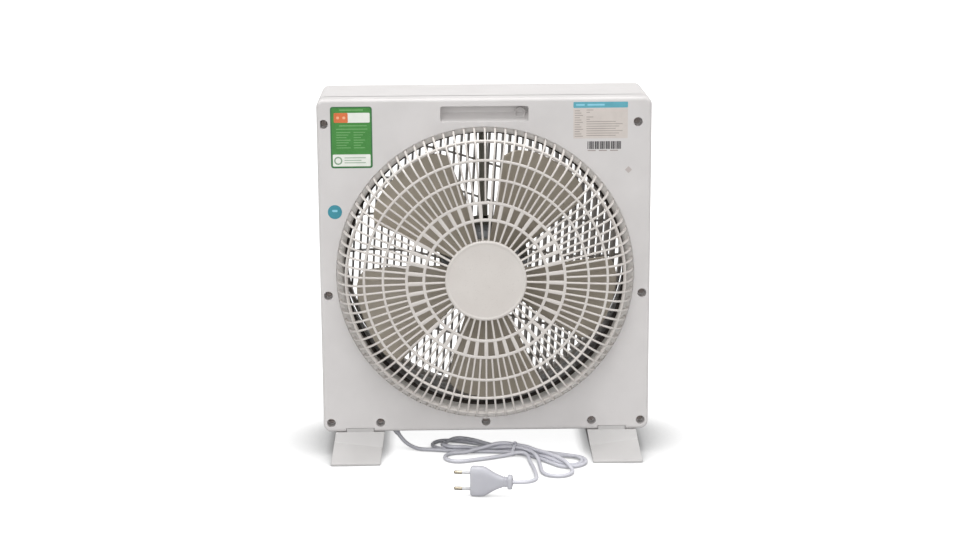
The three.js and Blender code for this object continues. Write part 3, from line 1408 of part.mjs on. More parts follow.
add("motor_shaft", rod(SHAFT_RADIUS, MOTOR_FRONT_Z - SHAFT_END_GAP, HUB_REAR_Z + 8, 0, AXIS_Y), steel);

add("impeller", impeller(), bladePlastic);
add("impeller_nut", impellerNut(), darkPlastic);

add("louvre_wheel", louvreWheel(), whitePlastic);
add("louvre_cap", louvreCap(), whitePlastic);
add("louvre_motor", louvreMotor(), steel);
add(
  "louvre_shaft",
  rod(LOUVRE_SHAFT_RADIUS, LOUVRE_FRONT_Z + 4 + CLEARANCE, LOUVRE_MOTOR_FRONT_Z + 9, 0, AXIS_Y),
  steel,
);

add("speed_switch", controlBox(KNOB_X, KNOB_Y, SPEED_SWITCH_SIZE, SPEED_SWITCH_DEPTH), darkPlastic);
add("speed_spindle", spindle(KNOB_X, KNOB_Y, SPEED_SWITCH_DEPTH), steel);
add("speed_knob", knob(KNOB_X, KNOB_Y), whitePlastic);
add("timer", controlBox(-KNOB_X, KNOB_Y, TIMER_SIZE, TIMER_DEPTH), darkPlastic);
add("timer_spindle", spindle(-KNOB_X, KNOB_Y, TIMER_DEPTH), steel);
add("timer_knob", knob(-KNOB_X, KNOB_Y), whitePlastic);
add("louvre_switch", rockerBody(), darkPlastic);
add("louvre_rocker", rockerKey(), whitePlastic);

add("capacitor", capacitor(), darkPlastic);
add("terminal_block", terminalBlock(), whitePlastic);

add("strain_relief", strainRelief(), cordVinyl);
add("cord_lead", cordTube(LEAD_ROUTE, 10), cordVinyl);
add("cord_hank", cordHank(), cordVinyl);
add("cord_tie", cordTie(), cordVinyl);
add("cord_tail", cordTube(TAIL_ROUTE, 15), cordVinyl);
add("plug_body", plugBody(), cordVinyl);
add("plug_pin_upper", plugPin(1, 0, 0), brass);
add("plug_pin_lower", plugPin(-1, 0, 0), brass);

export default fan;
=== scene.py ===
"""A 12-inch box fan seen from behind: the looks of every piece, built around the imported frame.

Pieces are drawn in the fan's rear view, in millimetres: x to the right, y up from the floor and z out
of the back. REAR_VIEW turns that drawing into the frame's metres, where the fan's front faces -Y.
"""
from math import copysign, cos, pi, radians, sin, sqrt

import bmesh
import bpy
import numpy as np
from mathutils import Matrix, Vector
from mathutils.geometry import convex_hull_2d


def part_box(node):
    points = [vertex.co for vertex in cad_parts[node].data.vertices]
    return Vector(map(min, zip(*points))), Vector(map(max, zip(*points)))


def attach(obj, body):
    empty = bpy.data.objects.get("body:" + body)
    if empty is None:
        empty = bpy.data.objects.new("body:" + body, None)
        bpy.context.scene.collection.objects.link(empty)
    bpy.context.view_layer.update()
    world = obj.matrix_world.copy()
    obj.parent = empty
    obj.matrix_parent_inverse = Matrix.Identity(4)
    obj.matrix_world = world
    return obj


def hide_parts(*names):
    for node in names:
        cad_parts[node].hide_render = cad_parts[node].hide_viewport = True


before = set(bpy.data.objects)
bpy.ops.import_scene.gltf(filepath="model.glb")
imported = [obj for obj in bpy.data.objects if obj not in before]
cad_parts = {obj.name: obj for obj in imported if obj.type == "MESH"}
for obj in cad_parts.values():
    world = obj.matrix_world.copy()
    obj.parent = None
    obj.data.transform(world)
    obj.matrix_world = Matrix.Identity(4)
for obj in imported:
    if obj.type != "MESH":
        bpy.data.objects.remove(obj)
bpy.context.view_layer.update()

MM = 0.001
TINY = 1e-3  # millimetres; what lies closer is taken as the same place
REAR_VIEW = Matrix(((-MM, 0, 0, 0), (0, 0, MM, 0), (0, MM, 0, 0), (0, 0, 0, 1)))


class Extent:
    """Where a CAD node reaches, in the rear view's millimetres."""

    def __init__(self, name):
        low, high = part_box(name)
        self.left, self.right = -high.x / MM, -low.x / MM
        self.bottom, self.top = low.z / MM, high.z / MM
        self.front, self.rear = low.y / MM, high.y / MM
        self.x = (self.left + self.right) / 2
        self.y = (self.bottom + self.top) / 2
        self.z = (self.front + self.rear) / 2
        self.depth = self.rear - self.front


COVER = Extent("rear_cover")
AXIS_Y = Extent("impeller_nut").y
REAR = COVER.rear
FRONT = Extent("front_housing").front
BASE = COVER.bottom
TOP = COVER.top
SIDE = COVER.right


# ---- camera and floor

CAMERA_PLACE = (0.0487, 2.3228, 0.738)  # metres, in the frame
CAMERA_TURN = (-1.08, 12.75, -0.35)  # degrees: off to the side, downwards, roll
CAMERA_LENS = 73.9


def aim_camera():
    """A long lens behind the fan, a little above it."""
    azimuth, elevation, roll = (radians(angle) for angle in CAMERA_TURN)
    forward = Vector((sin(azimuth) * cos(elevation), -cos(azimuth) * cos(elevation), -sin(elevation)))
    right = forward.cross(Vector((0, 0, 1))).normalized()
    up = right.cross(forward)
    rolled_right = cos(roll) * right + sin(roll) * up
    rolled_up = cos(roll) * up - sin(roll) * right
    turn = Matrix((rolled_right, rolled_up, -forward)).transposed().to_4x4()
    lens = bpy.data.cameras.new("camera")
    lens.lens = CAMERA_LENS
    lens.sensor_width = 36
    lens.clip_end = 60
    camera = bpy.data.objects.new("camera", lens)
    camera.matrix_world = Matrix.Translation(CAMERA_PLACE) @ turn
    bpy.context.collection.objects.link(camera)
    bpy.context.scene.camera = camera


aim_camera()
bpy.context.scene.view_settings.view_transform = "Standard"


# ---- material tools

def linear(hex_colour):
    """An sRGB hex colour as the linear RGBA that shaders take."""
    channels = [int(hex_colour[i:i + 2], 16) / 255 for i in (1, 3, 5)]
    return [c / 12.92 if c <= 0.04045 else ((c + 0.055) / 1.055) ** 2.4 for c in channels] + [1.0]


def node(material, kind, inputs=None, **settings):
    """Adds one node; inputs maps its sockets to values or to the outputs that feed them."""
    made = material.node_tree.nodes.new(kind)
    for name, value in settings.items():
        setattr(made, name, value)
    for socket, value in (inputs or {}).items():
        if isinstance(value, bpy.types.NodeSocket):
            material.node_tree.links.new(value, made.inputs[socket])
        else:
            made.inputs[socket].default_value = value
    return made


def blank(name):
    """A material with only its output node."""
    material = bpy.data.materials.new(name)
    material.use_nodes = True
    material.node_tree.nodes.clear()
    return material, node(material, "ShaderNodeOutputMaterial")


def moulded(name, colour, shade, roughness=0.45, grain=0.9, bump=0.04, mottle=55.0, coat=0.0,
            sheen_spread=0.08, metallic=0.0, ior=1.52, stretch=(1, 1, 1)):
    """A moulded or sprayed surface: a faint drift from colour to shade over mottle mm, a fine grain
    that breaks up the gloss, and a shallow bump from the mould's texture."""
    material, output = blank(name)
    place = node(material, "ShaderNodeTexCoord").outputs["Object"]
    place = node(material, "ShaderNodeMapping", {"Vector": place, "Scale": stretch}).outputs["Vector"]
    drift = node(material, "ShaderNodeTexNoise", {
        "Vector": place, "Scale": 1 / (mottle * MM), "Detail": 3.0, "Roughness": 0.55})
    tint = node(material, "ShaderNodeValToRGB", {"Fac": drift.outputs["Fac"]})
    for stop, position, tone in zip(tint.color_ramp.elements, (0.3, 0.7), (shade, colour)):
        stop.position = position
        stop.color = linear(tone)
    texture = node(material, "ShaderNodeTexNoise", {
        "Vector": place, "Scale": 1 / (grain * MM), "Detail": 2.0})
    gloss = node(material, "ShaderNodeMapRange", {
        "Value": texture.outputs["Fac"], "From Min": 0.3, "From Max": 0.7,
        "To Min": roughness - sheen_spread, "To Max": roughness + sheen_spread})
    relief = node(material, "ShaderNodeBump", {
        "Height": texture.outputs["Fac"], "Strength": 0.35, "Distance": bump * MM})
    surface = node(material, "ShaderNodeBsdfPrincipled", {
        "Base Color": tint.outputs["Color"], "Roughness": gloss.outputs["Result"],
        "Normal": relief.outputs["Normal"], "Metallic": metallic, "Coat Weight": coat, "Coat Roughness": 0.2})
    if not metallic:
        surface.inputs["IOR"].default_value = ior
    material.node_tree.links.new(surface.outputs["BSDF"], output.inputs["Surface"])
    return material


# ABS, injection moulded in a spark-eroded tool: a matt, faintly pink-grey white, fine orange peel.
HOUSING_ABS = moulded("housing_abs_satin", "#d3d0cf", "#ccc9c8", roughness=0.5, grain=1.1, bump=0.05)
# ABS from a polished tool: creamier and glossier than the housing, so its ribs catch the light.
GUARD_ABS = moulded("guard_abs_polished", "#d3cec9", "#ccc6c1", roughness=0.34, grain=1.6, bump=0.02)
# The same ABS left matt round the intake, without the ribs' highlights; its brighter tone is painted light,
# making up for the shade it lies in under the ribs.
INTAKE_ABS_PAINTED_LIGHT = moulded("intake_abs_matt_painted_light", "#eae7e4", "#e3e0dd", roughness=0.55, grain=1.1, bump=0.05)
# Polypropylene feet: waxier and a little greyer than the housing.
FOOT_PP = moulded("foot_polypropylene_waxy", "#bfbdbc", "#b8b6b5", roughness=0.42, grain=1.4, bump=0.03)
# Styrene-acrylonitrile blades: smoky beige and glossy, with a cloudy drift from the mould's flow.
BLADE_SAN = moulded("blade_san_smoky_beige", "#a89f91", "#9d9486", roughness=0.38, grain=2.2, bump=0.02,
                    mottle=26, sheen_spread=0.05, ior=1.57)
# High-impact polystyrene louvre wheel: a warm satin, its white painted down to grey as shade for the slats
# deep in the duct.
LOUVRE_HIPS = moulded("louvre_polystyrene_satin_painted_shade", "#bcb5ae", "#b4ada6", grain=1.2, bump=0.03)
# ABS knobs with a finer grip texture.
KNOB_ABS = moulded("knob_abs_fine_grain", "#d6d3d1", "#cfccca", roughness=0.4, grain=0.7, bump=0.05)
# ABS mark moulded into the cover, painted a little darker than the face round it as shade for its relief.
DIAMOND_ABS = moulded("moulded_mark_abs_painted_shade", "#bdb4b1", "#b5aca9", roughness=0.5, grain=0.8)
# Glass-filled nylon for switches and the impeller's nut: dark, dry and a little grey.
DARK_NYLON = moulded("switch_nylon_dark", "#2c2c2e", "#353537", roughness=0.55, grain=0.8, bump=0.06)
# White polyamide terminal block.
TERMINAL_PA = moulded("terminal_polyamide_white", "#d8d6d0", "#cfccc4", roughness=0.5, grain=0.8)
# Passivated steel screws: warm grey and dull, with brighter wear where a driver has rubbed; the grey is
# painted lighter than the steel's own, making up for the shade in the cover's wells.
SCREW_STEEL = moulded("screw_steel_passivated_painted_light", "#b9afab", "#a0958f", roughness=0.55, grain=0.5, bump=0.05,
                      mottle=3, metallic=0.12)
# Hot-dip galvanised strip: dull olive-grey with the spangle of the zinc.
BRACKET_STEEL = moulded("bracket_steel_galvanised", "#8d8a80", "#7c7970", roughness=0.52, grain=2.5,
                        bump=0.03, mottle=9, metallic=0.3)
# Ground and polished shafts: bright, with rings left by the lathe.
SHAFT_STEEL = moulded("shaft_steel_ground", "#bdbfc2", "#b1b3b6", roughness=0.26, grain=0.6, bump=0.02,
                      mottle=6, metallic=1.0)
# Powder-coated motor cans: even grey with a fine orange peel.
MOTOR_PAINT = moulded("motor_powder_coat_grey", "#8f9194", "#85878a", roughness=0.46, grain=1.5, bump=0.05,
                      coat=0.1)
# Stacked electrical steel: dark, with the fine edges of the laminations across the axis.
LAMINATIONS = moulded("stator_steel_laminated", "#5b5d61", "#4b4d51", roughness=0.5, grain=0.8, bump=0.06,
                      mottle=5, metallic=0.8, stretch=(1, 8, 1))
# Sintered bronze bearings: brown, porous and oily.
BEARING_BRONZE = moulded("bearing_bronze_sintered", "#a57b45", "#8d683a", roughness=0.42, grain=0.5,
                         bump=0.06, mottle=4, metallic=1.0)
# A dark sheet between the intake and the fan's duct, painted shade for the deep throat: rough, coarse-bumped
# and without shine.
THROAT_SHADE = moulded("throat_painted_shade", "#3b3430", "#2c2724", roughness=0.95, grain=0.8, bump=0.2, mottle=6)
# Plasticised PVC of the cord: cool grey-white and waxy, with soft highlights; painted lighter than the plug's
# copy, making up for the shade that the cord lies in under the fan.
CORD_PVC_PAINTED_LIGHT = moulded("cord_pvc_soft_white_painted_light", "#d0d0d7", "#c7c7cf", roughness=0.42, bump=0.03, mottle=30)
# The plug's copy of the same PVC is a shade darker: painted shade, since the plug lies out in the light.
PLUG_PVC_PAINTED_SHADE = moulded("plug_pvc_soft_white_painted_shade", "#bfbfc5", "#b6b6bd", roughness=0.42, bump=0.03, mottle=30)
# Harder nylon sleeves on the pins, paler than the plug.
PIN_SLEEVE = moulded("pin_sleeve_nylon", "#cfcfd0", "#c4c4c6", grain=0.8, bump=0.03, mottle=8)
# Nickel-plated brass pins: warm grey metal, drawn smooth, dulled by use.
PIN_NICKEL = moulded("pin_brass_nickel_plated", "#a79f90", "#8f8676", roughness=0.3, grain=0.6, bump=0.02,
                     mottle=5, metallic=1.0)
# Pad-printed ink of the dials: dark grey, flat, with soft edges.
MARK_INK = moulded("pad_print_grey", "#56585c", "#4e5054", roughness=0.5, grain=0.6, bump=0.01, mottle=4)


# ---- piece tools

def settle(made):
    """Turns an object's modifiers into its own mesh."""
    shaped = bpy.data.meshes.new_from_object(made.evaluated_get(bpy.context.evaluated_depsgraph_get()))
    made.modifiers.clear()
    plain, made.data = made.data, shaped
    bpy.data.meshes.remove(plain)
    shaped.name = made.name


def show(name, bm, material, slot, replaced=(), body="housing", crease=38, wall=0.0, bevel=0.0,
         bevel_segments=2):
    """Finishes a bmesh drawn in the rear view as one piece of the fan."""
    bmesh.ops.remove_doubles(bm, verts=bm.verts, dist=TINY)
    bmesh.ops.recalc_face_normals(bm, faces=bm.faces)
    bmesh.ops.transform(bm, matrix=REAR_VIEW, verts=bm.verts)
    mesh = bpy.data.meshes.new(name)
    bm.to_mesh(mesh)
    bm.free()
    made = bpy.data.objects.new(name, mesh)
    bpy.context.collection.objects.link(made)
    if wall:
        solid = made.modifiers.new("wall", "SOLIDIFY")
        solid.thickness = wall * MM
        solid.offset = -1
        solid.use_even_offset = False
    if bevel:
        rounding = made.modifiers.new("rounding", "BEVEL")
        rounding.width = bevel * MM
        rounding.segments = bevel_segments
        rounding.limit_method = "ANGLE"
        rounding.angle_limit = radians(crease)
        rounding.use_clamp_overlap = True
    if made.modifiers:
        settle(made)
    made.data.materials.clear()
    made.data.materials.append(material)
    made.data.shade_smooth()
    made.data.set_sharp_from_angle(angle=radians(crease))
    made.modifiers.new("even_shading", "WEIGHTED_NORMAL").keep_sharp = True
    settle(made)
    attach(made, body)
    if replaced:
        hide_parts(*replaced)
    return made


def box(bm, x0, x1, y0, y1, z0, z1):
    """Adds a rectangular block and returns its vertices."""
    middle = Matrix.Translation(((x0 + x1) / 2, (y0 + y1) / 2, (z0 + z1) / 2))
    size = Matrix.Diagonal((x1 - x0, y1 - y0, z1 - z0, 1))
    return bmesh.ops.create_cube(bm, size=1, matrix=middle @ size)["verts"]


def once(items):
    """Each item once and in the order met, so that every run builds the same meshes."""
    return list(dict.fromkeys(items))


def edges_of(verts):
    """The edges that join the given vertices to each other."""
    chosen = set(verts)
    return once(e for v in verts for e in v.link_edges if e.other_vert(v) in chosen)


def upright_edges(verts):
    """The edges of a block that run along z."""
    return [e for e in edges_of(verts) if abs(e.verts[0].co.z - e.verts[1].co.z) > 1]


def level(part, z):
    """Whether an edge or a face lies in the plane of z."""
    return all(abs(v.co.z - z) < TINY for v in part.verts)


def turn_and_place(bm, verts, axis, angle, place=(0, 0, 0)):
    """Turns vertices about an axis through the origin, then carries them to their place."""
    bmesh.ops.transform(bm, matrix=Matrix.Translation(place) @ Matrix.Rotation(angle, 4, axis), verts=verts)


def round_edges(bm, geom, radius, segments, affect="EDGES"):
    """Rounds edges, or the corners of a flat face."""
    return bmesh.ops.bevel(bm, geom=geom, offset=radius, offset_type="OFFSET", segments=segments, profile=0.5,
                           affect=affect, clamp_overlap=True, material=-1)


def circle(bm, radius, x=0.0, y=0.0, z=0.0, segments=24):
    """A ring of edges in the plane of z."""
    made = bmesh.ops.create_circle(bm, cap_ends=False, radius=radius, segments=segments,
                                   matrix=Matrix.Translation((x, y, z)))
    return edges_of(made["verts"])


def rounded_outline(bm, left, right, bottom, top, z, radius, segments=5):
    """The edges of a rectangle with rounded corners in the plane of z."""
    middle = Matrix.Translation(((left + right) / 2, (bottom + top) / 2, z))
    size = Matrix.Diagonal(((right - left) / 2, (top - bottom) / 2, 1, 1))
    corners = bmesh.ops.create_grid(bm, x_segments=1, y_segments=1, size=1, matrix=middle @ size)["verts"]
    made = round_edges(bm, corners, radius, segments, "VERTICES")
    rim = once(e for v in made["verts"] for e in v.link_edges)
    bmesh.ops.delete(bm, geom=once(f for e in rim for f in e.link_faces), context="FACES_ONLY")
    return rim


def extrude_rim(bm, rim, shift=(0, 0, 0), scale=1.0, centre=(0, 0, 0)):
    """Draws a closed rim of edges out to a new rim, which is returned."""
    grown = bmesh.ops.extrude_edge_only(bm, edges=rim)["geom"]
    verts = [g for g in grown if isinstance(g, bmesh.types.BMVert)]
    if scale != 1.0:
        bmesh.ops.scale(bm, vec=(scale, scale, 1), space=Matrix.Translation(centre).inverted(), verts=verts)
    bmesh.ops.translate(bm, vec=shift, verts=verts)
    return edges_of(verts)


def rim_verts(rim):
    """The vertices of a rim of edges."""
    return once(v for e in rim for v in e.verts)


def cap(bm, rim):
    """Closes a flat rim with triangles."""
    bmesh.ops.triangle_fill(bm, use_beauty=True, use_dissolve=False, edges=rim)


def revolve(bm, profile, steps, x=0.0, y=None, closed=True):
    """Turns (radius, z) points about a line along z; closed joins the last point to the first."""
    y = AXIS_Y if y is None else y
    verts = [bm.verts.new((x + radius, y, z)) for radius, z in profile]
    pairs = list(zip(verts, verts[1:])) + ([(verts[-1], verts[0])] if closed else [])
    edges = [bm.edges.new(pair) for pair in pairs]
    bmesh.ops.spin(bm, geom=verts + edges, cent=(x, y, 0), axis=(0, 0, 1), angle=2 * pi, steps=steps,
                   use_merge=True, use_duplicate=False)


def repeat_about_axis(bm, verts, count):
    """Repeats a loose shape evenly round the fan's axis."""
    geom = once(verts) + once(e for v in verts for e in v.link_edges) + once(
        f for v in verts for f in v.link_faces)
    bmesh.ops.spin(bm, geom=geom, cent=(0, AXIS_Y, 0), axis=(0, 0, 1), angle=2 * pi / count * (count - 1),
                   steps=count - 1, use_duplicate=True, use_merge=False)


# ---- cord, hank and plug

CORD_DIAMETER = 4.6
CORD_RADIUS = CORD_DIAMETER / 2
ON_FLOOR = 2.45  # the middle of the cord, where it lies on the floor
CORD_STEP = 3.0
TOUCHING = CORD_DIAMETER + 0.1
CLIMB = 13.0  # over which a run rises onto another
SAME_RUN = 6  # steps along the cord that never count as crossing
SETTLING_ROUNDS = 10


def fold(x, z, radius, start, end, steps=6):
    """Where a run turns back round (x, z), from one angle to another."""
    turns = [radians(start + (end - start) * i / steps) for i in range(steps + 1)]
    return [(x + radius * cos(t), z + radius * sin(t)) for t in turns]


# Out of the strain relief and down to the floor.
LEAD_ROUTE = [
    (-110.6, 25.2, 35), (-107.7, 21, 35), (-104.8, 16.8, 35.1), (-101.5, 12.3, 35.6), (-97.2, 8, 37.2),
    (-91.5, 4.6, 40.2), (-84.5, 2.75, 44.6), (-78, 2.45, 48.6), (-65.6, 2.45, 50.9),
]
# The hank seen from above, run by run: two long loops to the right, two short ones to the left, a
# near loop to the right and a near fold to the left, all drawn together at the waist.
HANK_ROUTE = [
    (-50, 54.5), (-30, 57.5), (-8, 60), (12, 62), (31, 65.3), (48, 75), (64, 92), (77, 109),
    *fold(96, 101, 21, 115, -78),
    (80, 71), (62, 63), (46, 56.5), (31, 50), (12, 41), (-8, 31), (-28, 21),
    *fold(-48, 32, 16.5, -80, -270),
    (-28, 46.5), (-8, 47.5), (12, 52.5), (31, 60.2), (46, 68.5), (62, 82), (76, 102),
    *fold(95.8, 100.8, 16.5, 112, -84),
    (80, 76.5), (62, 68.5), (46, 61.8), (31, 55.1), (14, 46.5), (-2, 38), (-18, 26.4),
    *fold(-34.5, 38.2, 18.2, -72, -268),
    (-18, 53.3), (-2, 54), (14, 57), (31, 62.8), (44, 70), (55, 82), (60.5, 98), (62, 113), (62.6, 127),
    *fold(81.3, 138, 17.6, 168, -40),
    (84.5, 110.4), (73, 94.6), (60, 79), (46, 66), (31, 57.6), (14, 57.5), (-4, 61.5), (-19, 64.6),
    *fold(-33, 81, 16.6, -88, -276),
    (-14, 92.2), (4, 85.6), (18, 79.2),
    *fold(35, 87.8, 14.6, -115, -12, 4), (50.6, 97),
]
# From the waist to the near side and up into the plug's collar.
TAIL_ROUTE = [
    (51.4, 2.45, 105.7), (52.4, 2.65, 113), (53.4, 3.3, 123), (54, 4.5, 135), (54.4, 6.6, 149),
    (54.5, 9, 162), (54.4, 11.6, 175), (54.2, 13.9, 188), (53.8, 15.5, 200), (51.4, 16.5, 210),
    (47.1, 17.1, 215.8), (41, 17.5, 219.4), (34, 17.65, 220.6), (28, 17.65, 220), (22.4, 17.65, 219.2),
]


def smooth_line(points, per_span=24):
    """A centripetal Catmull-Rom line through the points."""
    points = np.array(points, float)
    padded = np.vstack([2 * points[0] - points[1], points, 2 * points[-1] - points[-2]])
    line = []
    for i in range(1, len(padded) - 2):
        p0, p1, p2, p3 = padded[i - 1:i + 3]
        spans = [max(np.linalg.norm(b - a) ** 0.5, 1e-6) for a, b in ((p0, p1), (p1, p2), (p2, p3))]
        t0, t1, t2, t3 = np.cumsum([0, *spans])
        for t in np.linspace(t1, t2, per_span, endpoint=False):
            a1 = (t1 - t) / (t1 - t0) * p0 + (t - t0) / (t1 - t0) * p1
            a2 = (t2 - t) / (t2 - t1) * p1 + (t - t1) / (t2 - t1) * p2
            a3 = (t3 - t) / (t3 - t2) * p2 + (t - t2) / (t3 - t2) * p3
            b1 = (t2 - t) / (t2 - t0) * a1 + (t - t0) / (t2 - t0) * a2
            b2 = (t3 - t) / (t3 - t1) * a2 + (t - t1) / (t3 - t1) * a3
            line.append((t2 - t) / (t2 - t1) * b1 + (t - t1) / (t2 - t1) * b2)
    line.append(points[-1])
    return np.array(line)


def evenly(line, spacing):
    """The same line at an even spacing."""
    along = np.concatenate([[0], np.cumsum(np.linalg.norm(np.diff(line, axis=0), axis=1))])
    marks = np.linspace(0, along[-1], int(round(along[-1] / spacing)) + 1)
    return np.array([np.interp(marks, along, line[:, axis]) for axis in range(3)]).T


def laid_down(lead, hank, tail):
    """The cord as it lies: each run rests on the floor and climbs in a low hump over earlier runs."""
    flat = [(x, ON_FLOOR, z) for x, z in hank]
    line = evenly(smooth_line(lead + flat + tail), CORD_STEP)
    start = np.linalg.norm(line - np.array(lead[-1]), axis=1).argmin()
    end = np.linalg.norm(line - np.array(tail[0]), axis=1).argmin()
    plan = line[:, [0, 2]]
    away = np.linalg.norm(plan[:, None] - plan[None], axis=2)
    order = np.arange(len(line))
    crossed = (away < TOUCHING) & (order[:, None] - order[None] > SAME_RUN)
    lift = np.sqrt(np.maximum(TOUCHING ** 2 - away ** 2, 0))
    reach = int(round(CLIMB / CORD_STEP))
    weights = np.hanning(2 * reach + 3)[1:-1]
    weights /= weights.sum()
    leaving = (1 - np.cos(pi * np.clip((end - order) / reach, 0, 1))) / 2
    for _ in range(SETTLING_ROUNDS):
        need = np.where(crossed, line[None, :, 1] + lift, ON_FLOOR).max(axis=1)
        need[:start] = line[:start, 1]
        need[end:] = ON_FLOOR
        wide = np.array([need[max(0, i - reach // 2):i + reach // 2 + 1].max() for i in order])
        eased = np.convolve(np.pad(wide, reach, mode="edge"), weights, "valid")
        line[start:end, 1] = (ON_FLOOR + (np.maximum(eased, ON_FLOOR) - ON_FLOOR) * leaving)[start:end]
    return line


def make_cord():
    """The cord, the line of its middle, where it leaves the fan, and its length in metres."""
    line = laid_down(LEAD_ROUTE, HANK_ROUTE, TAIL_ROUTE)
    points = [REAR_VIEW @ Vector(p) for p in line]
    length = sum((b - a).length for a, b in zip(points, points[1:]))
    curve = bpy.data.curves.new("mains_cord", "CURVE")
    curve.dimensions = "3D"
    curve.bevel_depth = CORD_RADIUS * MM
    curve.bevel_resolution = 3
    curve.use_fill_caps = True
    spline = curve.splines.new("POLY")
    spline.points.add(len(points) - 1)
    for point, place in zip(spline.points, points):
        point.co = (*place, 1)
    cord = bpy.data.objects.new("mains_cord", curve)
    # The cord's PVC is painted lighter, against the shade under the fan.
    curve.materials.append(CORD_PVC_PAINTED_LIGHT)
    bpy.context.collection.objects.link(cord)
    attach(cord, "housing")
    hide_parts("cord_lead", "cord_hank", "cord_tail")
    return cord, line, points[0], round(length, 3)


cord, cord_line, cord_exit, cord_length = make_cord()

PLUG_PLACE = Matrix.Translation((-21, 17.65, 213)) @ Matrix.Rotation(radians(-8), 4, "Y")
# Along the moulding from its face to the cord: how far, half its width, half its thickness.
PLUG_STATIONS = (
    (0, 15.2, 5.4), (0.4, 16.2, 6.2), (2.5, 17.4, 6.8), (8, 17.5, 6.8), (13, 17.3, 6.8), (17, 16.2, 6.6),
    (21, 13.8, 6.2), (25, 11.2, 5.9), (29, 9, 5.7), (33, 7.2, 5.4), (36, 6.2, 5.2), (37.2, 5.2, 4.7),
    (38.2, 6, 5.1), (39.4, 5, 4.7), (40.6, 5.8, 5), (41.8, 4.9, 4.6), (42.2, 7.6, 6), (43.2, 8, 6.5),
    (46, 8, 6.5), (47, 7.6, 6), (47.4, 4.4, 4.4), (48, 3.6, 3.6),
)
SQUARENESS = 0.55  # of the plug's section: 1 gives an ellipse, 0 a rectangle
PIN_PITCH = 19.0
PIN_METAL = ((0, -19), (1.3, -18.8), (1.95, -17.8), (2, -17), (2, -9.5), (0, -9.5))
PIN_COVER = ((0, -9.6), (1.7, -9.6), (1.85, -9.3), (1.9, 0.5), (0, 0.5))


def make_plug():
    """A moulded two-pin plug that stands on its narrow edge, its pins to the left."""
    bm = bmesh.new()
    first = rim = circle(bm, 1.0, segments=40)
    start, wide, thick = PLUG_STATIONS[0]
    for vert in bm.verts:
        c, s = vert.co.x, vert.co.y
        vert.co = (start, wide * copysign(abs(s) ** SQUARENESS, s), thick * copysign(abs(c) ** SQUARENESS, c))
    for (x0, wide0, thick0), (x1, wide1, thick1) in zip(PLUG_STATIONS, PLUG_STATIONS[1:]):
        rim = extrude_rim(bm, rim, (x1 - x0, 0, 0))
        for vert in rim_verts(rim):
            vert.co.y *= wide1 / wide0
            vert.co.z *= thick1 / thick0
    cap(bm, first)
    cap(bm, rim)
    bmesh.ops.transform(bm, matrix=PLUG_PLACE, verts=bm.verts)
    # The plug's PVC is painted a shade darker than the cord's.
    pieces = [show("plug_moulding", bm, PLUG_PVC_PAINTED_SHADE, "cord_vinyl", ["plug_body"], crease=40)]
    for side, name in ((1, "plug_pin_upper"), (-1, "plug_pin_lower")):
        for part, profile, material, slot, replaced in (
                ("metal", PIN_METAL, PIN_NICKEL, "pin_brass", [name]),
                ("sleeve", PIN_COVER, PIN_SLEEVE, "cord_vinyl", [])):
            bm = bmesh.new()
            revolve(bm, profile, 20, 0, 0, closed=False)
            turn_and_place(bm, bm.verts, "Y", pi / 2, (0, side * PIN_PITCH / 2, 0))
            bmesh.ops.transform(bm, matrix=PLUG_PLACE, verts=bm.verts)
            pieces.append(show(f"{name}_{part}", bm, material, slot, replaced))
    return pieces


plug_pieces = make_plug()

TIE_WIDTH = 3.4
TIE_THICKNESS = 0.6
TIE_ABOVE_FLOOR = 0.05
TIE_TURN = radians(-16)  # about the upright, so that it crosses the runs squarely
TWIST_STEPS, TWIST_RISE, TWIST_TURN = 11, 0.9, radians(40)
TWIST_LEAN = radians(68)


def make_cord_tie():
    """A plastic-coated wire tie drawn tight round the hank's waist, its ends twisted together."""
    place = Extent("cord_tie")
    along = Vector((cos(TIE_TURN), 0, -sin(TIE_TURN)))
    across = Vector((sin(TIE_TURN), 0, cos(TIE_TURN)))
    middle = Vector((place.x, 0, place.z))
    crossings = []
    for a, b in zip(cord_line, cord_line[1:]):
        a, b = Vector(a) - middle, Vector(b) - middle
        if a.dot(along) * b.dot(along) <= 0 and abs(a.dot(across)) < place.depth / 2:
            met = a.lerp(b, a.dot(along) / (a - b).dot(along))
            crossings.append((met.dot(across), met.y))
    grip = CORD_RADIUS + TIE_THICKNESS
    skin = [(x + grip * cos(radians(t)), max(y + grip * sin(radians(t)), TIE_ABOVE_FLOOR))
            for x, y in crossings for t in range(0, 360, 15)]
    ring = [skin[i] for i in convex_hull_2d([Vector(p) for p in skin])]
    bm = bmesh.new()
    verts = [bm.verts.new((x, y, -TIE_WIDTH / 2)) for x, y in ring]
    rim = [bm.edges.new((a, b)) for a, b in zip(verts, verts[1:] + verts[:1])]
    extrude_rim(bm, rim, (0, 0, TIE_WIDTH))
    onto = Matrix.Translation(middle) @ Matrix((across, (0, 1, 0), -along)).transposed().to_4x4()
    bmesh.ops.transform(bm, matrix=onto, verts=bm.verts)
    band = show("cord_tie_band", bm, CORD_PVC_PAINTED_LIGHT, "cord_vinyl", ["cord_tie"], wall=TIE_THICKNESS)

    bm = bmesh.new()
    first = rim = rounded_outline(bm, -1.5, 1.5, -0.75, 0.75, 0, 0.7, 3)
    for _ in range(TWIST_STEPS):
        rim = extrude_rim(bm, rim, (0, 0, TWIST_RISE))
        turn_and_place(bm, rim_verts(rim), "Z", TWIST_TURN)
    cap(bm, first)
    cap(bm, rim)
    x, y = max(ring, key=lambda point: point[1])
    lean = Matrix.Translation((x, y + 0.2, 0)) @ Matrix.Rotation(TWIST_LEAN, 4, "Y")
    bmesh.ops.transform(bm, matrix=onto @ lean, verts=bm.verts)
    return [band, show("cord_tie_twist", bm, CORD_PVC_PAINTED_LIGHT, "cord_vinyl")]


tie_pieces = make_cord_tie()


# ---- housing shells

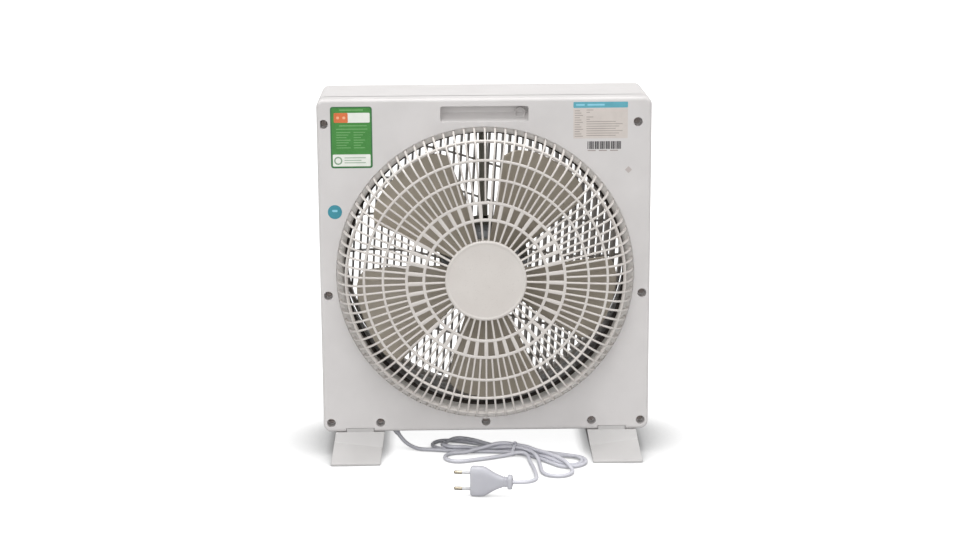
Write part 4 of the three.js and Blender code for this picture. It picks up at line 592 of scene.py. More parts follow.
CORNER = 9.0
EDGE = 4.0
COVER_WALL, FRONT_WALL = 1.6, 2.3
SHELL_CREASE = 32
WELL_RADIUS = 5.3
WELL_DEPTH = 14.0
OPENING_RADIUS = 174.9
OPENING_LIP = 2.7
COLLAR_RADIUS = 175.0
POCKET_HALF, POCKET_BOTTOM, POCKET_TOP = 51.0, TOP - 27.7, TOP - 9.3
POCKET_DEPTH = 15.0
SEAM = 42.7  # the rear edge of the front shell
LIP_INSET = 2.9
COLLAR_DEPTH = 20.0
TONGUE_HALF = 16.8
TONGUE_TOP = BASE + 4.9
TONGUE_DEPTH = 6.3
FOOT_MIDDLE = 150.3

COVER_SCREWS = [f"cover_screw_{i}" for i in range(1, 10)]


def tray(z_face, z_open):
    """A rounded box with one open side; its flat face at z_face is taken out and that face's rim returned."""
    bm = bmesh.new()
    verts = box(bm, -SIDE, SIDE, BASE, TOP, min(z_face, z_open), max(z_face, z_open))
    round_edges(bm, upright_edges(verts), CORNER, 6)
    bmesh.ops.delete(bm, geom=[f for f in bm.faces if level(f, z_open)], context="FACES_ONLY")
    round_edges(bm, list(next(f for f in bm.faces if level(f, z_face)).edges), EDGE, 5)
    face = next(f for f in bm.faces if level(f, z_face))
    rim = list(face.edges)
    bmesh.ops.delete(bm, geom=[face], context="FACES_ONLY")
    return bm, rim


def cut_tongue_notches(bm, z_face):
    """Takes out the places in the housing's lower edge where the feet's tongues hook in."""
    inward = -1 if z_face > 0 else 1
    z_inner = z_face + inward * TONGUE_DEPTH
    for middle in (-FOOT_MIDDLE, FOOT_MIDDLE):
        x0, x1 = middle - TONGUE_HALF, middle + TONGUE_HALF
        for place, normal in (((x0, 0, 0), (1, 0, 0)), ((x1, 0, 0), (1, 0, 0)),
                              ((0, TONGUE_TOP, 0), (0, 1, 0)), ((0, 0, z_inner), (0, 0, 1))):
            near = [f for f in bm.faces if max(v.co.y for v in f.verts) < BASE + 6.5]
            near += once(e for f in near for e in f.edges) + once(v for f in near for v in f.verts)
            bmesh.ops.bisect_plane(bm, geom=near, plane_co=place, plane_no=normal, dist=1e-4)
        centres = {f: f.calc_center_median() for f in bm.faces}
        cut = [f for f, c in centres.items()
               if x0 < c.x < x1 and c.y < TONGUE_TOP and (c.z - z_inner) * inward < 0]
        bmesh.ops.delete(bm, geom=cut, context="FACES")


def finger_pocket(bm, z_face):
    """The handle's recess: a level roof and a floor that rises inwards."""
    inward = -1 if z_face > 0 else 1
    mouth = rim = rounded_outline(bm, -POCKET_HALF, POCKET_HALF, POCKET_BOTTOM, POCKET_TOP, z_face, 2.5, 3)
    middle = (POCKET_BOTTOM + POCKET_TOP) / 2
    before = 0.0
    for depth, rise in ((0.6, 0.0), (POCKET_DEPTH * 0.6, 3.7), (POCKET_DEPTH, 5.5)):
        rim = extrude_rim(bm, rim, (0, 0, inward * (depth - before)))
        for vert in rim_verts(rim):
            if vert.co.y < middle:
                vert.co.y += rise
        before = depth
    cap(bm, rim)
    return mouth


def well_rim(bm, screw):
    """The mouth of a screw's well, flattened where it would run into the cover's rounded edge."""
    rim = circle(bm, WELL_RADIUS, screw.x, screw.y, REAR, 24)
    reach = SIDE - EDGE - 0.2
    for vert in rim_verts(rim):
        vert.co.x = max(-reach, min(reach, vert.co.x))
    return rim


def make_rear_cover():
    """The rear tray, open for the guard, with the screws' wells and a finger pocket."""
    bm, rim = tray(REAR, COVER.front)
    opening = circle(bm, OPENING_RADIUS, 0, AXIS_Y, REAR, 180)
    wells = [well_rim(bm, Extent(name)) for name in COVER_SCREWS]
    pocket = finger_pocket(bm, REAR)
    cap(bm, rim + opening + [e for well in wells for e in well] + pocket)
    for well in wells:
        floor = extrude_rim(bm, well, (0, 0, -WELL_DEPTH))
        verts = rim_verts(floor)
        extrude_rim(bm, floor, scale=0.4, centre=sum((v.co for v in verts), Vector()) / len(verts))
    extrude_rim(bm, opening, (0, 0, -OPENING_LIP))
    cut_tongue_notches(bm, REAR)
    show("rear_cover_moulding", bm, HOUSING_ABS, "housing_white", ["rear_cover"],
         crease=SHELL_CREASE, wall=COVER_WALL, bevel=0.35)


def make_front_housing():
    """The front tub with the collar round the louvre, and the lip that the cover slides over."""
    bm, rim = tray(FRONT, SEAM)
    opening = circle(bm, COLLAR_RADIUS, 0, AXIS_Y, FRONT, 180)
    switch = Extent("louvre_switch")
    window = rounded_outline(bm, switch.left + 2.4, switch.right - 2.4, switch.bottom + 2.4, switch.top - 2.4,
                             FRONT, 0.5, 2)
    cap(bm, rim + opening + window + finger_pocket(bm, FRONT))
    extrude_rim(bm, opening, (0, 0, COLLAR_DEPTH))
    cut_tongue_notches(bm, FRONT)
    show("front_housing_moulding", bm, HOUSING_ABS, "housing_white", ["front_housing"],
         crease=SHELL_CREASE, wall=FRONT_WALL, bevel=0.35)
    bm = bmesh.new()
    band = rounded_outline(bm, LIP_INSET - SIDE, SIDE - LIP_INSET, BASE + LIP_INSET, TOP - LIP_INSET,
                           SEAM - 6, CORNER - LIP_INSET, 6)
    extrude_rim(bm, band, (0, 0, 10))
    show("housing_seam_lip", bm, HOUSING_ABS, "housing_white", crease=SHELL_CREASE, wall=1.0)


# ---- rear guard

RISE = Extent("rear_guard").rear - REAR
DISC_RADIUS = 47.4
INNER_RINGS = (71.9, 92.0)
OUTER_RINGS = (119.3, 141.3)
SHOULDER_RING = 163.3
RIB_ROOT_RADIUS = 174.4
THROAT_RADIUS = 163.5
RIB_WIDTH = 2.3
RIB_DEPTH = 3.6
WIDE_RIB = 4.8
INNER_RIBS = 45
OUTER_RIBS = 90
# Sections from the cover's face inwards: (radius, how deep).
INTAKE_RING = ((178, 2.9), (174.6, 2.7), (172.6, 3.5), (170.4, 4.6), (168.6, 6), (167.6, 7.8), (167.2, 10),
               (166.6, 24), (168.4, 24), (169.2, 10), (171.2, 6.8), (174, 5.6), (178, 5))
THROAT_SHADE_SECTION = ((168.2, 23.6), (166.4, 23.4), (164.4, 24.6), (THROAT_RADIUS, 28), (THROAT_RADIUS + 1.8, 28),
              (168, 26))


def guard_height(radius):
    """The guard's outer surface above the cover: a flat middle, then a shoulder that falls ever steeper."""
    flat = OUTER_RINGS[1]
    if radius <= flat:
        return RISE
    return RISE * (1 - ((radius - flat) / (RIB_ROOT_RADIUS - flat)) ** 2.35) ** 0.62


def rib(bm, *stations):
    """One rib down from the axis: stations are (radius, height, half width, depth, lean)."""
    rims, verts = [], []
    for radius, height, half, depth, lean in stations:
        z = REAR + height
        soft = min(half * 0.55, 0.7)
        y, y_in = AXIS_Y - radius, AXIS_Y - radius + depth * lean
        loop = [bm.verts.new(co) for co in (
            (-half + soft, y, z), (half - soft, y, z), (half, y, z - soft), (half * 0.82, y_in, z - depth),
            (-half * 0.82, y_in, z - depth), (-half, y, z - soft))]
        rims.append([bm.edges.new((a, b)) for a, b in zip(loop, loop[1:] + loop[:1])])
        verts += loop
    for near, far in zip(rims, rims[1:]):
        bmesh.ops.bridge_loops(bm, edges=near + far)
    for end in (rims[0], rims[-1]):
        bmesh.ops.contextual_create(bm, geom=end)
    return verts


def ring_profile(radius, height, half=1.5, depth=3.4, tilt=0.0):
    """A ring's rounded section as (radius, z) points."""
    z = REAR + height
    soft = 0.6
    points = [(-half + soft, 0), (half - soft, 0), (half, -soft), (half * 0.85, -depth),
              (-half * 0.85, -depth), (-half, -soft)]
    c, s = cos(tilt), sin(tilt)
    return [(radius + u * c - v * s, z + u * s + v * c) for u, v in points]


def make_guard():
    """Ribs, rings and disc as one moulding, the ring that leads the air in, and a dark strip in its throat
    that is painted shade.
    """
    bm = bmesh.new()
    half, flat = RIB_WIDTH / 2, OUTER_RINGS[1]
    inner = rib(bm, (DISC_RADIUS - 3, RISE, half, RIB_DEPTH, 0),
                (INNER_RINGS[0] - 0.3, RISE, half * 1.12, RIB_DEPTH, 0))
    wide = rib(bm, (INNER_RINGS[0], RISE, WIDE_RIB / 2 - 0.3, RIB_DEPTH, 0),
               (INNER_RINGS[1] + 0.2, RISE, WIDE_RIB / 2, RIB_DEPTH, 0))
    stations = []
    for radius in (INNER_RINGS[1], *OUTER_RINGS, 147, 152, 156.5, 160.5, 164, 167, 169.5, 171.5, 173.2,
                   RIB_ROOT_RADIUS):
        lean = max(0, min(1.0, (radius - flat) / 22))
        height = guard_height(radius) if radius < RIB_ROOT_RADIUS else -2.0
        stations.append((radius, height, half * (1.0 if radius < 150 else 0.95),
                         RIB_DEPTH * (1 - 0.25 * lean), lean))
    outer = rib(bm, *stations)
    for verts, count in ((inner, INNER_RIBS), (wide, INNER_RIBS), (outer, OUTER_RIBS)):
        repeat_about_axis(bm, verts, count)
    for radius in (*INNER_RINGS, *OUTER_RINGS):
        revolve(bm, ring_profile(radius, RISE + 0.15, 1.5 if radius > 100 else 1.7), 180)
    revolve(bm, ring_profile(SHOULDER_RING, guard_height(SHOULDER_RING) + 0.1, 1.5, 3.2, -0.9), 180)
    z = REAR + RISE
    revolve(bm, [(0, z + 0.2), (DISC_RADIUS - 4.2, z + 0.2), (DISC_RADIUS - 3.6, z + 0.5),
                 (DISC_RADIUS - 2.6, z + 0.9), (DISC_RADIUS - 1, z + 0.9), (DISC_RADIUS, z - 0.1),
                 (DISC_RADIUS, z - RIB_DEPTH), (0, z - RIB_DEPTH)], 120, closed=False)
    show("rear_guard_grille", bm, GUARD_ABS, "guard_cream", ["rear_guard"], crease=50)
    # The ring's ABS is painted lighter, and the dark strip is painted shade for the deep throat.
    for name, section, material, slot in (("intake_ring", INTAKE_RING, INTAKE_ABS_PAINTED_LIGHT, "guard_cream"),
                                          ("throat_painted_shade_strip", THROAT_SHADE_SECTION, THROAT_SHADE, "dark_plastic")):
        bm = bmesh.new()
        revolve(bm, [(radius, REAR - depth) for radius, depth in section], 180)
        show(name, bm, material, slot, crease=50)


# ---- impeller

BLADES = 5
BLADE_TIP = 155.0
HUB_RADIUS = 36.0
LEADING_ANGLE = 153.3  # degrees, of the first blade
ROOT_SPAN, TIP_SPAN = 51.5, 45.7  # degrees that a blade covers
BLADE_REAR_Z, BLADE_FRONT_Z = 76.0, 38.0
HUB_REAR, HUB_FRONT = 69.0, 33.0
NUT_SEAT = HUB_REAR + 0.3
BORE = 4.3
NUT_SECTION = ((BORE, 0), (12, 0), (12, 1.2), (10, 2.4), (8.6, 8), (6.8, 9.8), (0, 10))
NUT_WINGS = 6


def blade_point(index, outward, chord):
    """Where a blade's surface lies: chord runs from the leading edge, outward from the hub."""
    root = HUB_RADIUS - 2
    rounding = 0.075 * abs(2 * chord - 1) ** 5
    radius = root + (BLADE_TIP * (1 - rounding) - root) * outward
    span = ROOT_SPAN + (TIP_SPAN - ROOT_SPAN) * outward
    angle = radians(LEADING_ANGLE - 360 / BLADES * index - span * chord)
    rear = BLADE_REAR_Z - 14 * (1 - outward)
    z = rear + (BLADE_FRONT_Z - rear) * chord - 5 * sin(pi * chord) * outward
    return Vector((radius * cos(angle), AXIS_Y + radius * sin(angle), z))


def make_impeller():
    """Five swept blades, the cup that they grow from, and the winged nut that clamps it."""
    bm = bmesh.new()
    for index in range(BLADES):
        for vert in bmesh.ops.create_grid(bm, x_segments=18, y_segments=14, size=0.5)["verts"]:
            vert.co = blade_point(index, vert.co.x + 0.5, vert.co.y + 0.5)
    show("impeller_blades", bm, BLADE_SAN, "blade_beige", ["impeller"], body="fan", crease=50, wall=2.0,
         bevel=0.9, bevel_segments=3)
    bm = bmesh.new()
    rear, front, inner = HUB_REAR, HUB_FRONT, HUB_RADIUS - 2.5
    revolve(bm, [(BORE, rear - 1), (11, rear - 1), (14, rear), (30, rear), (33.5, rear - 0.8),
                 (35.4, rear - 2.6), (HUB_RADIUS, rear - 5), (HUB_RADIUS, front), (inner, front),
                 (inner, rear - 5), (31, rear - 2.5), (9, rear - 2.5), (9, front + 8), (BORE, front + 8)], 72)
    show("impeller_hub", bm, BLADE_SAN, "blade_beige", body="fan", crease=40)
    bm = bmesh.new()
    revolve(bm, [(radius, NUT_SEAT + rise) for radius, rise in NUT_SECTION], 48, closed=False)
    for i in range(NUT_WINGS):
        verts = box(bm, -1.1, 1.1, 6.5, 11.2, NUT_SEAT + 0.5, NUT_SEAT + 7.5)
        turn_and_place(bm, verts, "Z", 2 * pi / NUT_WINGS * i, (0, AXIS_Y, 0))
    show("impeller_spin_nut", bm, DARK_NYLON, "dark_plastic", ["impeller_nut"], body="fan", crease=40,
         bevel=0.3)


# ---- louvre wheel

LOUVRE_RADIUS = 172.0
LOUVRE_RIM = 4.0
SLAT_PITCH = 8.4
SLAT_DEPTH = 13.0
SLAT_THICKNESS = 1.6
SLAT_LEAN = 8.0  # degrees in the middle, growing towards one side
WHEEL_TURN = radians(-3.4)  # where the wheel happens to stand
CROSS_TIES = [45.0 * i - 157.5 for i in range(8)]
CROSS_TIE_SWING = 21.0
CROSS_TIE_WAVE = 460.0
CROSS_TIE_DEPTH = 7
WHEEL_REAR = FRONT + 15.0
CAP_SECTION = ((0, 3.9), (10, 3.8), (20, 3.3), (27, 2.5), (31, 1.3), (32, 0.5), (32, 0), (0, 0))


def show_turned(name, bm, replaced=(), **finish):
    """Finishes a piece of the louvre wheel, turned to where the wheel stands."""
    bmesh.ops.rotate(bm, verts=bm.verts, cent=(0, AXIS_Y, 0), matrix=Matrix.Rotation(WHEEL_TURN, 3, "Z"))
    # The wheel's white is painted down to grey, as shade for the slats in the duct.
    show(name, bm, LOUVRE_HIPS, "louvre_white", replaced, body="louvre", crease=40, **finish)


def make_louvre_wheel():
    """Slats that lean more towards one side, wavy ties across them, the rim, the hub and its cap."""
    bm = bmesh.new()
    inner = LOUVRE_RADIUS - LOUVRE_RIM
    middle_z = (FRONT + WHEEL_REAR) / 2
    count = int((inner - SLAT_PITCH / 2) / SLAT_PITCH)
    for index in range(-count, count + 1):
        x = index * SLAT_PITCH
        across = x / inner
        lean = radians(SLAT_LEAN * (1 + across + across ** 2))
        reach = abs(x) + SLAT_DEPTH / 2 * sin(lean) + SLAT_THICKNESS
        half = sqrt(max(inner + 2, reach) ** 2 - reach ** 2)
        if half < SLAT_PITCH:
            continue
        verts = box(bm, -SLAT_THICKNESS / 2, SLAT_THICKNESS / 2, -half, half, -SLAT_DEPTH / 2, SLAT_DEPTH / 2)
        turn_and_place(bm, verts, "Y", lean, (x, AXIS_Y, middle_z))
    show_turned("louvre_slats", bm, ["louvre_wheel"], bevel=0.45)
    bm = bmesh.new()
    for row in CROSS_TIES:
        half = sqrt(inner ** 2 - (abs(row) + 4) ** 2) + 1.5
        steps = 2 * max(8, int(half / 5))
        for vert in bmesh.ops.create_grid(bm, x_segments=steps, y_segments=1, size=0.5)["verts"]:
            x = 2 * half * vert.co.x
            y = row - CROSS_TIE_SWING * sin(2 * pi * x / CROSS_TIE_WAVE) * min(1, (inner - abs(row)) / 60)
            reach = sqrt(max(inner ** 2 - x ** 2, 0))
            vert.co = (x, AXIS_Y + max(-reach, min(reach, y)), middle_z - 1 + CROSS_TIE_DEPTH * vert.co.y)
    show_turned("louvre_cross_ties", bm, wall=1.7, bevel=0.3)
    bm = bmesh.new()
    front, rear = FRONT, WHEEL_REAR
    revolve(bm, [(inner, front + 0.6), (inner + 0.8, front), (LOUVRE_RADIUS - 0.8, front),
                 (LOUVRE_RADIUS, front + 0.8), (LOUVRE_RADIUS, rear), (inner, rear)], 180)
    revolve(bm, [(3.8, front + 4), (0, front + 4), (0, front), (30, front), (30, rear - 1), (29, rear),
                 (26, rear), (26, front + 5), (8, front + 5), (8, rear), (3.8, rear)], 90)
    show_turned("louvre_rim_and_hub", bm)
    bm = bmesh.new()
    revolve(bm, [(radius, FRONT - 0.3 - rise) for radius, rise in CAP_SECTION], 96, closed=False)
    show("louvre_cap_dome", bm, LOUVRE_HIPS, "louvre_white", ["louvre_cap"], body="louvre", crease=40)


# ---- motor and bracket

BRACKET_FRONT_Z, BRACKET_REAR_Z = -22.3, -20.3
ARM_HALF, FLANGE_HALF = 5, 21


def make_bracket():
    """A pressed steel strip from top to bottom, with a flange at each end and a ring for the motor."""
    bm = bmesh.new()
    bracket = Extent("motor_bracket")
    low, high, z0, z1 = bracket.bottom, bracket.top, BRACKET_FRONT_Z, BRACKET_REAR_Z
    for y0, y1 in ((low, AXIS_Y - 50), (AXIS_Y + 50, high)):
        box(bm, -ARM_HALF, ARM_HALF, y0, y1, z0, z1)
    for y0, y1 in ((low, low + 10), (high - 10, high)):
        box(bm, -FLANGE_HALF, -ARM_HALF, y0, y1, z0, z1)
        box(bm, ARM_HALF, FLANGE_HALF, y0, y1, z0, z1)
    for y0, y1 in ((low + 20, AXIS_Y - 56), (AXIS_Y + 56, high - 16)):
        for x in (-ARM_HALF, ARM_HALF - 2):
            box(bm, x, x + 2, y0, y1, z1, z1 + 4)
    revolve(bm, [(6, z0), (6, z1), (16, z1), (18, z1 + 0.6), (22, z1 + 0.6), (24, z1), (53.4, z1),
                 (54, z1 - 0.6), (54, z0 + 0.6), (53.4, z0), (24, z0), (22, z0 + 0.6), (18, z0 + 0.6),
                 (16, z0)], 96)
    show("motor_bracket_pressing", bm, BRACKET_STEEL, "zinc_steel", ["motor_bracket"], crease=35, bevel=0.3)


# The cans' outer ends and where they meet the stator.
MOTOR_CANS = (("motor_rear_shell", 26.0, 2.3), ("motor_front_shell", -20.0, 2.0))
EAR_FROM, EAR_TO, EAR_HALF = 43, 51.5, 4.5


def make_motor():
    """The two cans with their ears: the section is (radius, how far in from the can's end)."""
    for name, end, split in MOTOR_CANS:
        inward = -1 if end > split else 1
        depth = abs(end - split)
        section = ((5, 0), (9, 0), (11, 0.8), (34, 0.8), (38, 1.6), (41.6, 3.6), (43.4, 6.4), (44, 9.5),
                   (44, depth), (42, depth), (42, 6), (39, 3), (9.3, 2), (9.3, 10), (5, 10))
        bm = bmesh.new()
        revolve(bm, [(radius, end + inward * in_from_end) for radius, in_from_end in section], 72)
        z0, z1 = sorted((end + inward * 9, split))
        for x0, x1 in ((-EAR_TO, -EAR_FROM), (EAR_FROM, EAR_TO)):
            box(bm, x0, x1, AXIS_Y - EAR_HALF, AXIS_Y + EAR_HALF, z0, z1)
        show(name + "_can", bm, MOTOR_PAINT, "motor_paint", [name], crease=35, bevel=0.4)


# ---- screws

def cross_recess(bm, x, y, z, reach=1.9, half=0.42, depth=1.3):
    """A driver's cross, sunk into a flat face at z; returns its rim."""
    place = Matrix.Translation((x, y, z))
    cells = bmesh.ops.create_grid(bm, x_segments=3, y_segments=3, size=1, matrix=place)["verts"]
    for vert in cells:
        for axis, centre in ((0, x), (1, y)):
            offset = vert.co[axis] - centre
            vert.co[axis] = centre + copysign(reach if abs(offset) > 0.6 else half, offset)
    faces = once(f for v in cells for f in v.link_faces)
    middles = {f: f.calc_center_median() for f in faces}
    corners = [f for f in faces if min(abs(middles[f].x - x), abs(middles[f].y - y)) > half]
    arms = [f for f in faces if f not in corners]
    rim = [e for e in once(e for f in arms for e in f.edges) if sum(f in arms for f in e.link_faces) == 1]
    spare = [e for e in once(e for v in cells for e in v.link_edges) if e not in rim]
    bmesh.ops.delete(bm, geom=corners, context="FACES")
    bmesh.ops.delete(bm, geom=arms, context="FACES_ONLY")
    bmesh.ops.delete(bm, geom=[e for e in spare if e.is_valid], context="EDGES")
    cap(bm, extrude_rim(bm, rim, (0, 0, -depth), 0.8, (x, y, z - depth)))
    return rim


# From the flat of the head down to the tip: (radius, drop from the ring before).
SCREW_STEPS = ((2.6, 0), (3.2, 0.35), (3.6, 1.0), (3.6, 0.85), (1.7, 0), (1.7, 14.5), (0.51, 1.2))


def make_screw(name):
    """A pan head with a cross recess, on its shank."""
    head = Extent(name)
    x, y = head.x, head.y
    bm = bmesh.new()
    recess = cross_recess(bm, x, y, head.rear)
    rim = circle(bm, SCREW_STEPS[0][0], x, y, head.rear, 24)
    cap(bm, recess + rim)
    for (before, _), (radius, drop) in zip(SCREW_STEPS, SCREW_STEPS[1:]):
        rim = extrude_rim(bm, rim, (0, 0, -drop), radius / before, (x, y, 0))
    cap(bm, rim)
    # The screws' steel is painted lighter against the shade in their wells.
    show(name + "_pan_head", bm, SCREW_STEEL, "zinc_steel", [name], crease=35)


def make_screws():
    """The cover's screws, and the handle's, which sits in a boss behind the cover."""
    for name in (*COVER_SCREWS, "handle_screw"):
        make_screw(name)
    place, radius = Extent("handle_screw"), WELL_RADIUS - 0.1
    bm = bmesh.new()
    revolve(bm, [(radius, REAR - 22), (radius, REAR - 10.5), (5.6, REAR - 10), (6.2, REAR - 10.6),
                 (6.2, REAR - 24)], 32, place.x, place.y, closed=False)
    show("handle_screw_boss", bm, HOUSING_ABS, "housing_white", crease=35)
    bm = bmesh.new()
    cap(bm, circle(bm, WELL_RADIUS, place.x, place.y, REAR - 22.6, 24))
    show("handle_screw_well_floor", bm, SCREW_STEEL, "housing_white", crease=35)


# ---- feet

FOOT_WIDTH = 58.5
FOOT_SPLAY = 5.0
FOOT_REACH = 38.0
LIFT = BASE - 0.3
TOE = 0.085  # of the full height, at each end
TONGUE_REACH = 16.5


def make_foot(side, name):
    """A wide clip-on foot: upright under the housing, then falling to a thin toe at each end."""
    tip = REAR + FOOT_REACH
    stations = [(0, 1, 1), (REAR - 4, 1, 1), (REAR, 1, 1), (REAR + FOOT_REACH * 0.2, 0.42, 0.68),
                (tip, TOE, TOE)]
    stations = [(-z, inner, outer) for z, inner, outer in reversed(stations[1:])] + stations
    last = len(stations) - 1
    bm = bmesh.new()
    for vert in bmesh.ops.create_grid(bm, x_segments=3, y_segments=last, size=0.5)["verts"]:
        column = round((vert.co.x + 0.5) * 3)
        z, inner, outer = stations[round((vert.co.y + 0.5) * last)]
        outboard = column >= 2
        height = LIFT * (outer if outboard else inner) if column in (1, 2) else 0.0
        splay = FOOT_SPLAY * (1 - height / LIFT)
        across = FOOT_MIDDLE + splay + (FOOT_WIDTH / 2 if outboard else -FOOT_WIDTH / 2)
        vert.co = (side * across, height, z)
    for z in (-tip, tip):
        bmesh.ops.contextual_create(bm, geom=[e for e in bm.edges if e.is_boundary and level(e, z)])
    show(name + "_moulding", bm, FOOT_PP, "foot_white", [name], crease=20, wall=2.2, bevel=0.9,
         bevel_segments=3)
    bm = bmesh.new()
    middle = side * FOOT_MIDDLE
    for end in (-1, 1):
        z0, z1 = sorted((end * (REAR - 0.3), end * (REAR - 5.8)))
        box(bm, middle - TONGUE_REACH, middle + TONGUE_REACH, LIFT - 3, LIFT + 4.9, z0, z1)
    show(name + "_tongues", bm, FOOT_PP, "foot_white", crease=35, bevel=1.2, bevel_segments=3)


# ---- controls on the front

TICK_FROM, TICK_TO, TICK_HALF = 19.5, 21.7, 0.3
NUMBER_RADIUS, NUMBER_SIZE = 26, 5.5
KNOB_SECTION = ((0, 5.6), (12, 5.4), (14.6, 5.1), (16.2, 4.2), (16.8, 2.8), (17, 0), (0, 0))
GRIP_HALF_WIDTH, GRIP_HALF_LENGTH = 4, 15.2


def make_knob(node_name, body):
    """A round knob with a bar to grip it by and a printed pointer."""
    place = Extent(node_name)
    x, y, base = place.x, place.y, place.rear
    bm = bmesh.new()
    revolve(bm, [(radius, base - rise) for radius, rise in KNOB_SECTION], 72, x, y, closed=False)
    grip = box(bm, x - GRIP_HALF_WIDTH, x + GRIP_HALF_WIDTH, y - GRIP_HALF_LENGTH, y + GRIP_HALF_LENGTH,
               place.front, base - 4.6)
    round_edges(bm, upright_edges(grip), 0.9 * GRIP_HALF_WIDTH, 5)
    show(node_name + "_grip", bm, KNOB_ABS, "knob_white", [node_name], body, bevel=0.9, bevel_segments=3)
    bm = bmesh.new()
    box(bm, x - 0.6, x + 0.6, y + 6, y + 14, place.front, place.front + 0.35)
    show(node_name + "_grip_pointer", bm, MARK_INK, "knob_white", body=body)


def add_numeral(merged, text, x, y):
    """Adds a number printed flat on the front, to be read from the front."""
    curve = bpy.data.curves.new("dial_number", "FONT")
    curve.body = text
    curve.size = NUMBER_SIZE
    curve.align_x = "CENTER"
    curve.align_y = "CENTER"
    holder = bpy.data.objects.new("dial_number", curve)
    bpy.context.collection.objects.link(holder)
    mesh = bpy.data.meshes.new_from_object(holder.evaluated_get(bpy.context.evaluated_depsgraph_get()))
    bpy.data.objects.remove(holder)
    bpy.data.curves.remove(curve)
    bm = bmesh.new()
    bm.from_mesh(mesh)
    place = Matrix.Translation((x, y, FRONT - 0.06)) @ Matrix.Diagonal((-1, 1, 1, 1))
    bmesh.ops.transform(bm, matrix=place, verts=bm.verts)
    bmesh.ops.solidify(bm, geom=bm.faces, thickness=0.05)
    bm.to_mesh(mesh)
    bm.free()
    merged.from_mesh(mesh)
    bpy.data.meshes.remove(mesh)


def make_dial(node_name, name, marks, sweep):
    """Printed ticks and numbers round a knob: marks are spread over the knob's sweep, in degrees."""
    knob = Extent(node_name)
    bm = bmesh.new()
    for index, mark in enumerate(marks):
        angle = radians(90) + radians(sweep) * index / (len(marks) - 1)
        tick = box(bm, TICK_FROM, TICK_TO, -TICK_HALF, TICK_HALF, FRONT - 0.08, FRONT - 0.02)
        turn_and_place(bm, tick, "Z", angle, (knob.x, knob.y, 0))
        add_numeral(bm, mark, knob.x + NUMBER_RADIUS * cos(angle), knob.y + NUMBER_RADIUS * sin(angle))
    show(name, bm, MARK_INK, "dark_plastic")


def make_rocker_bezel():
    """The frame round the louvre's rocker and the well that it tips in."""
    place = Extent("louvre_switch")
    bm = bmesh.new()
    outer = rounded_outline(bm, place.left, place.right, place.bottom, place.top, place.front, 1.6, 4)
    window = rounded_outline(bm, place.left + 4, place.right - 4, place.bottom + 3.5, place.top - 3.5,
                             place.front, 0.6, 3)
    cap(bm, outer + window)
    extrude_rim(bm, outer, (0, 0, 2))
    cap(bm, extrude_rim(bm, window, (0, 0, 8)))
    show("louvre_switch_bezel", bm, DARK_NYLON, "dark_plastic", ["louvre_switch"], bevel=0.35)


# ---- stickers and a mark on the back

def gloss_paper(name, colour, shade, roughness=0.32):
    """Coated label stock: an even print with a faint drift, under a thin clear film."""
    return moulded(name, colour, shade, roughness=roughness, grain=0.5, bump=0.008, mottle=12, coat=0.25)


GREEN_PRINT = gloss_paper("label_film_green", "#3d8836", "#357e2f")
DARK_GREEN_PRINT = gloss_paper("label_film_dark_green", "#2e6e3a", "#296534")
PALE_GREEN_PRINT = gloss_paper("label_film_pale_green", "#6faa66", "#66a15d")
SOFT_GREEN_PRINT = gloss_paper("label_film_soft_green", "#86a386", "#7d997d")
ORANGE_PRINT = gloss_paper("label_film_orange", "#d9703a", "#cf6832")
PALE_ORANGE_PRINT = gloss_paper("label_film_pale_orange", "#eeb48c", "#e6ab82")
WHITE_PRINT = gloss_paper("label_film_white", "#e9ebe4", "#e1e4dc")
PALE_PRINT = gloss_paper("label_film_pale_grey", "#d0c8c2", "#c9c1bb")
TEAL_PRINT = gloss_paper("label_film_teal", "#5da9b9", "#55a0b0")
CYAN_PRINT = gloss_paper("label_film_cyan", "#368f9f", "#2f8697")
SKY_PRINT = gloss_paper("label_film_sky", "#8fd0e2", "#84c6d9")
RULE_INK = gloss_paper("label_ink_brown", "#a69d97", "#9c938e", roughness=0.45)
BAR_INK = gloss_paper("label_ink_dark", "#4a4748", "#423f40", roughness=0.45)
LAYER = 0.05  # each printed layer stands this much proud of the one below
RATING_LABEL = (102.9, 166.0)  # its left and right edges
ROUND_STICKER = (-174.8, 298.0)


def plate(bm, x0, x1, y0, y1, layer, corner=0.6):
    """A thin rounded rectangle on the cover's face."""
    z = REAR + 0.02 + LAYER * layer
    corner = min(corner, 0.48 * min(x1 - x0, y1 - y0))
    rim = rounded_outline(bm, x0, x1, y0, y1, z + LAYER, corner, 3)
    cap(bm, rim)
    extrude_rim(bm, rim, (0, 0, -LAYER))


def sticker(name, material, *plates):
    """Plates of one print: left, right, bottom, top, layer, corner."""
    bm = bmesh.new()
    for spec in plates:
        plate(bm, *spec)
    show(name, bm, material, "housing_white")


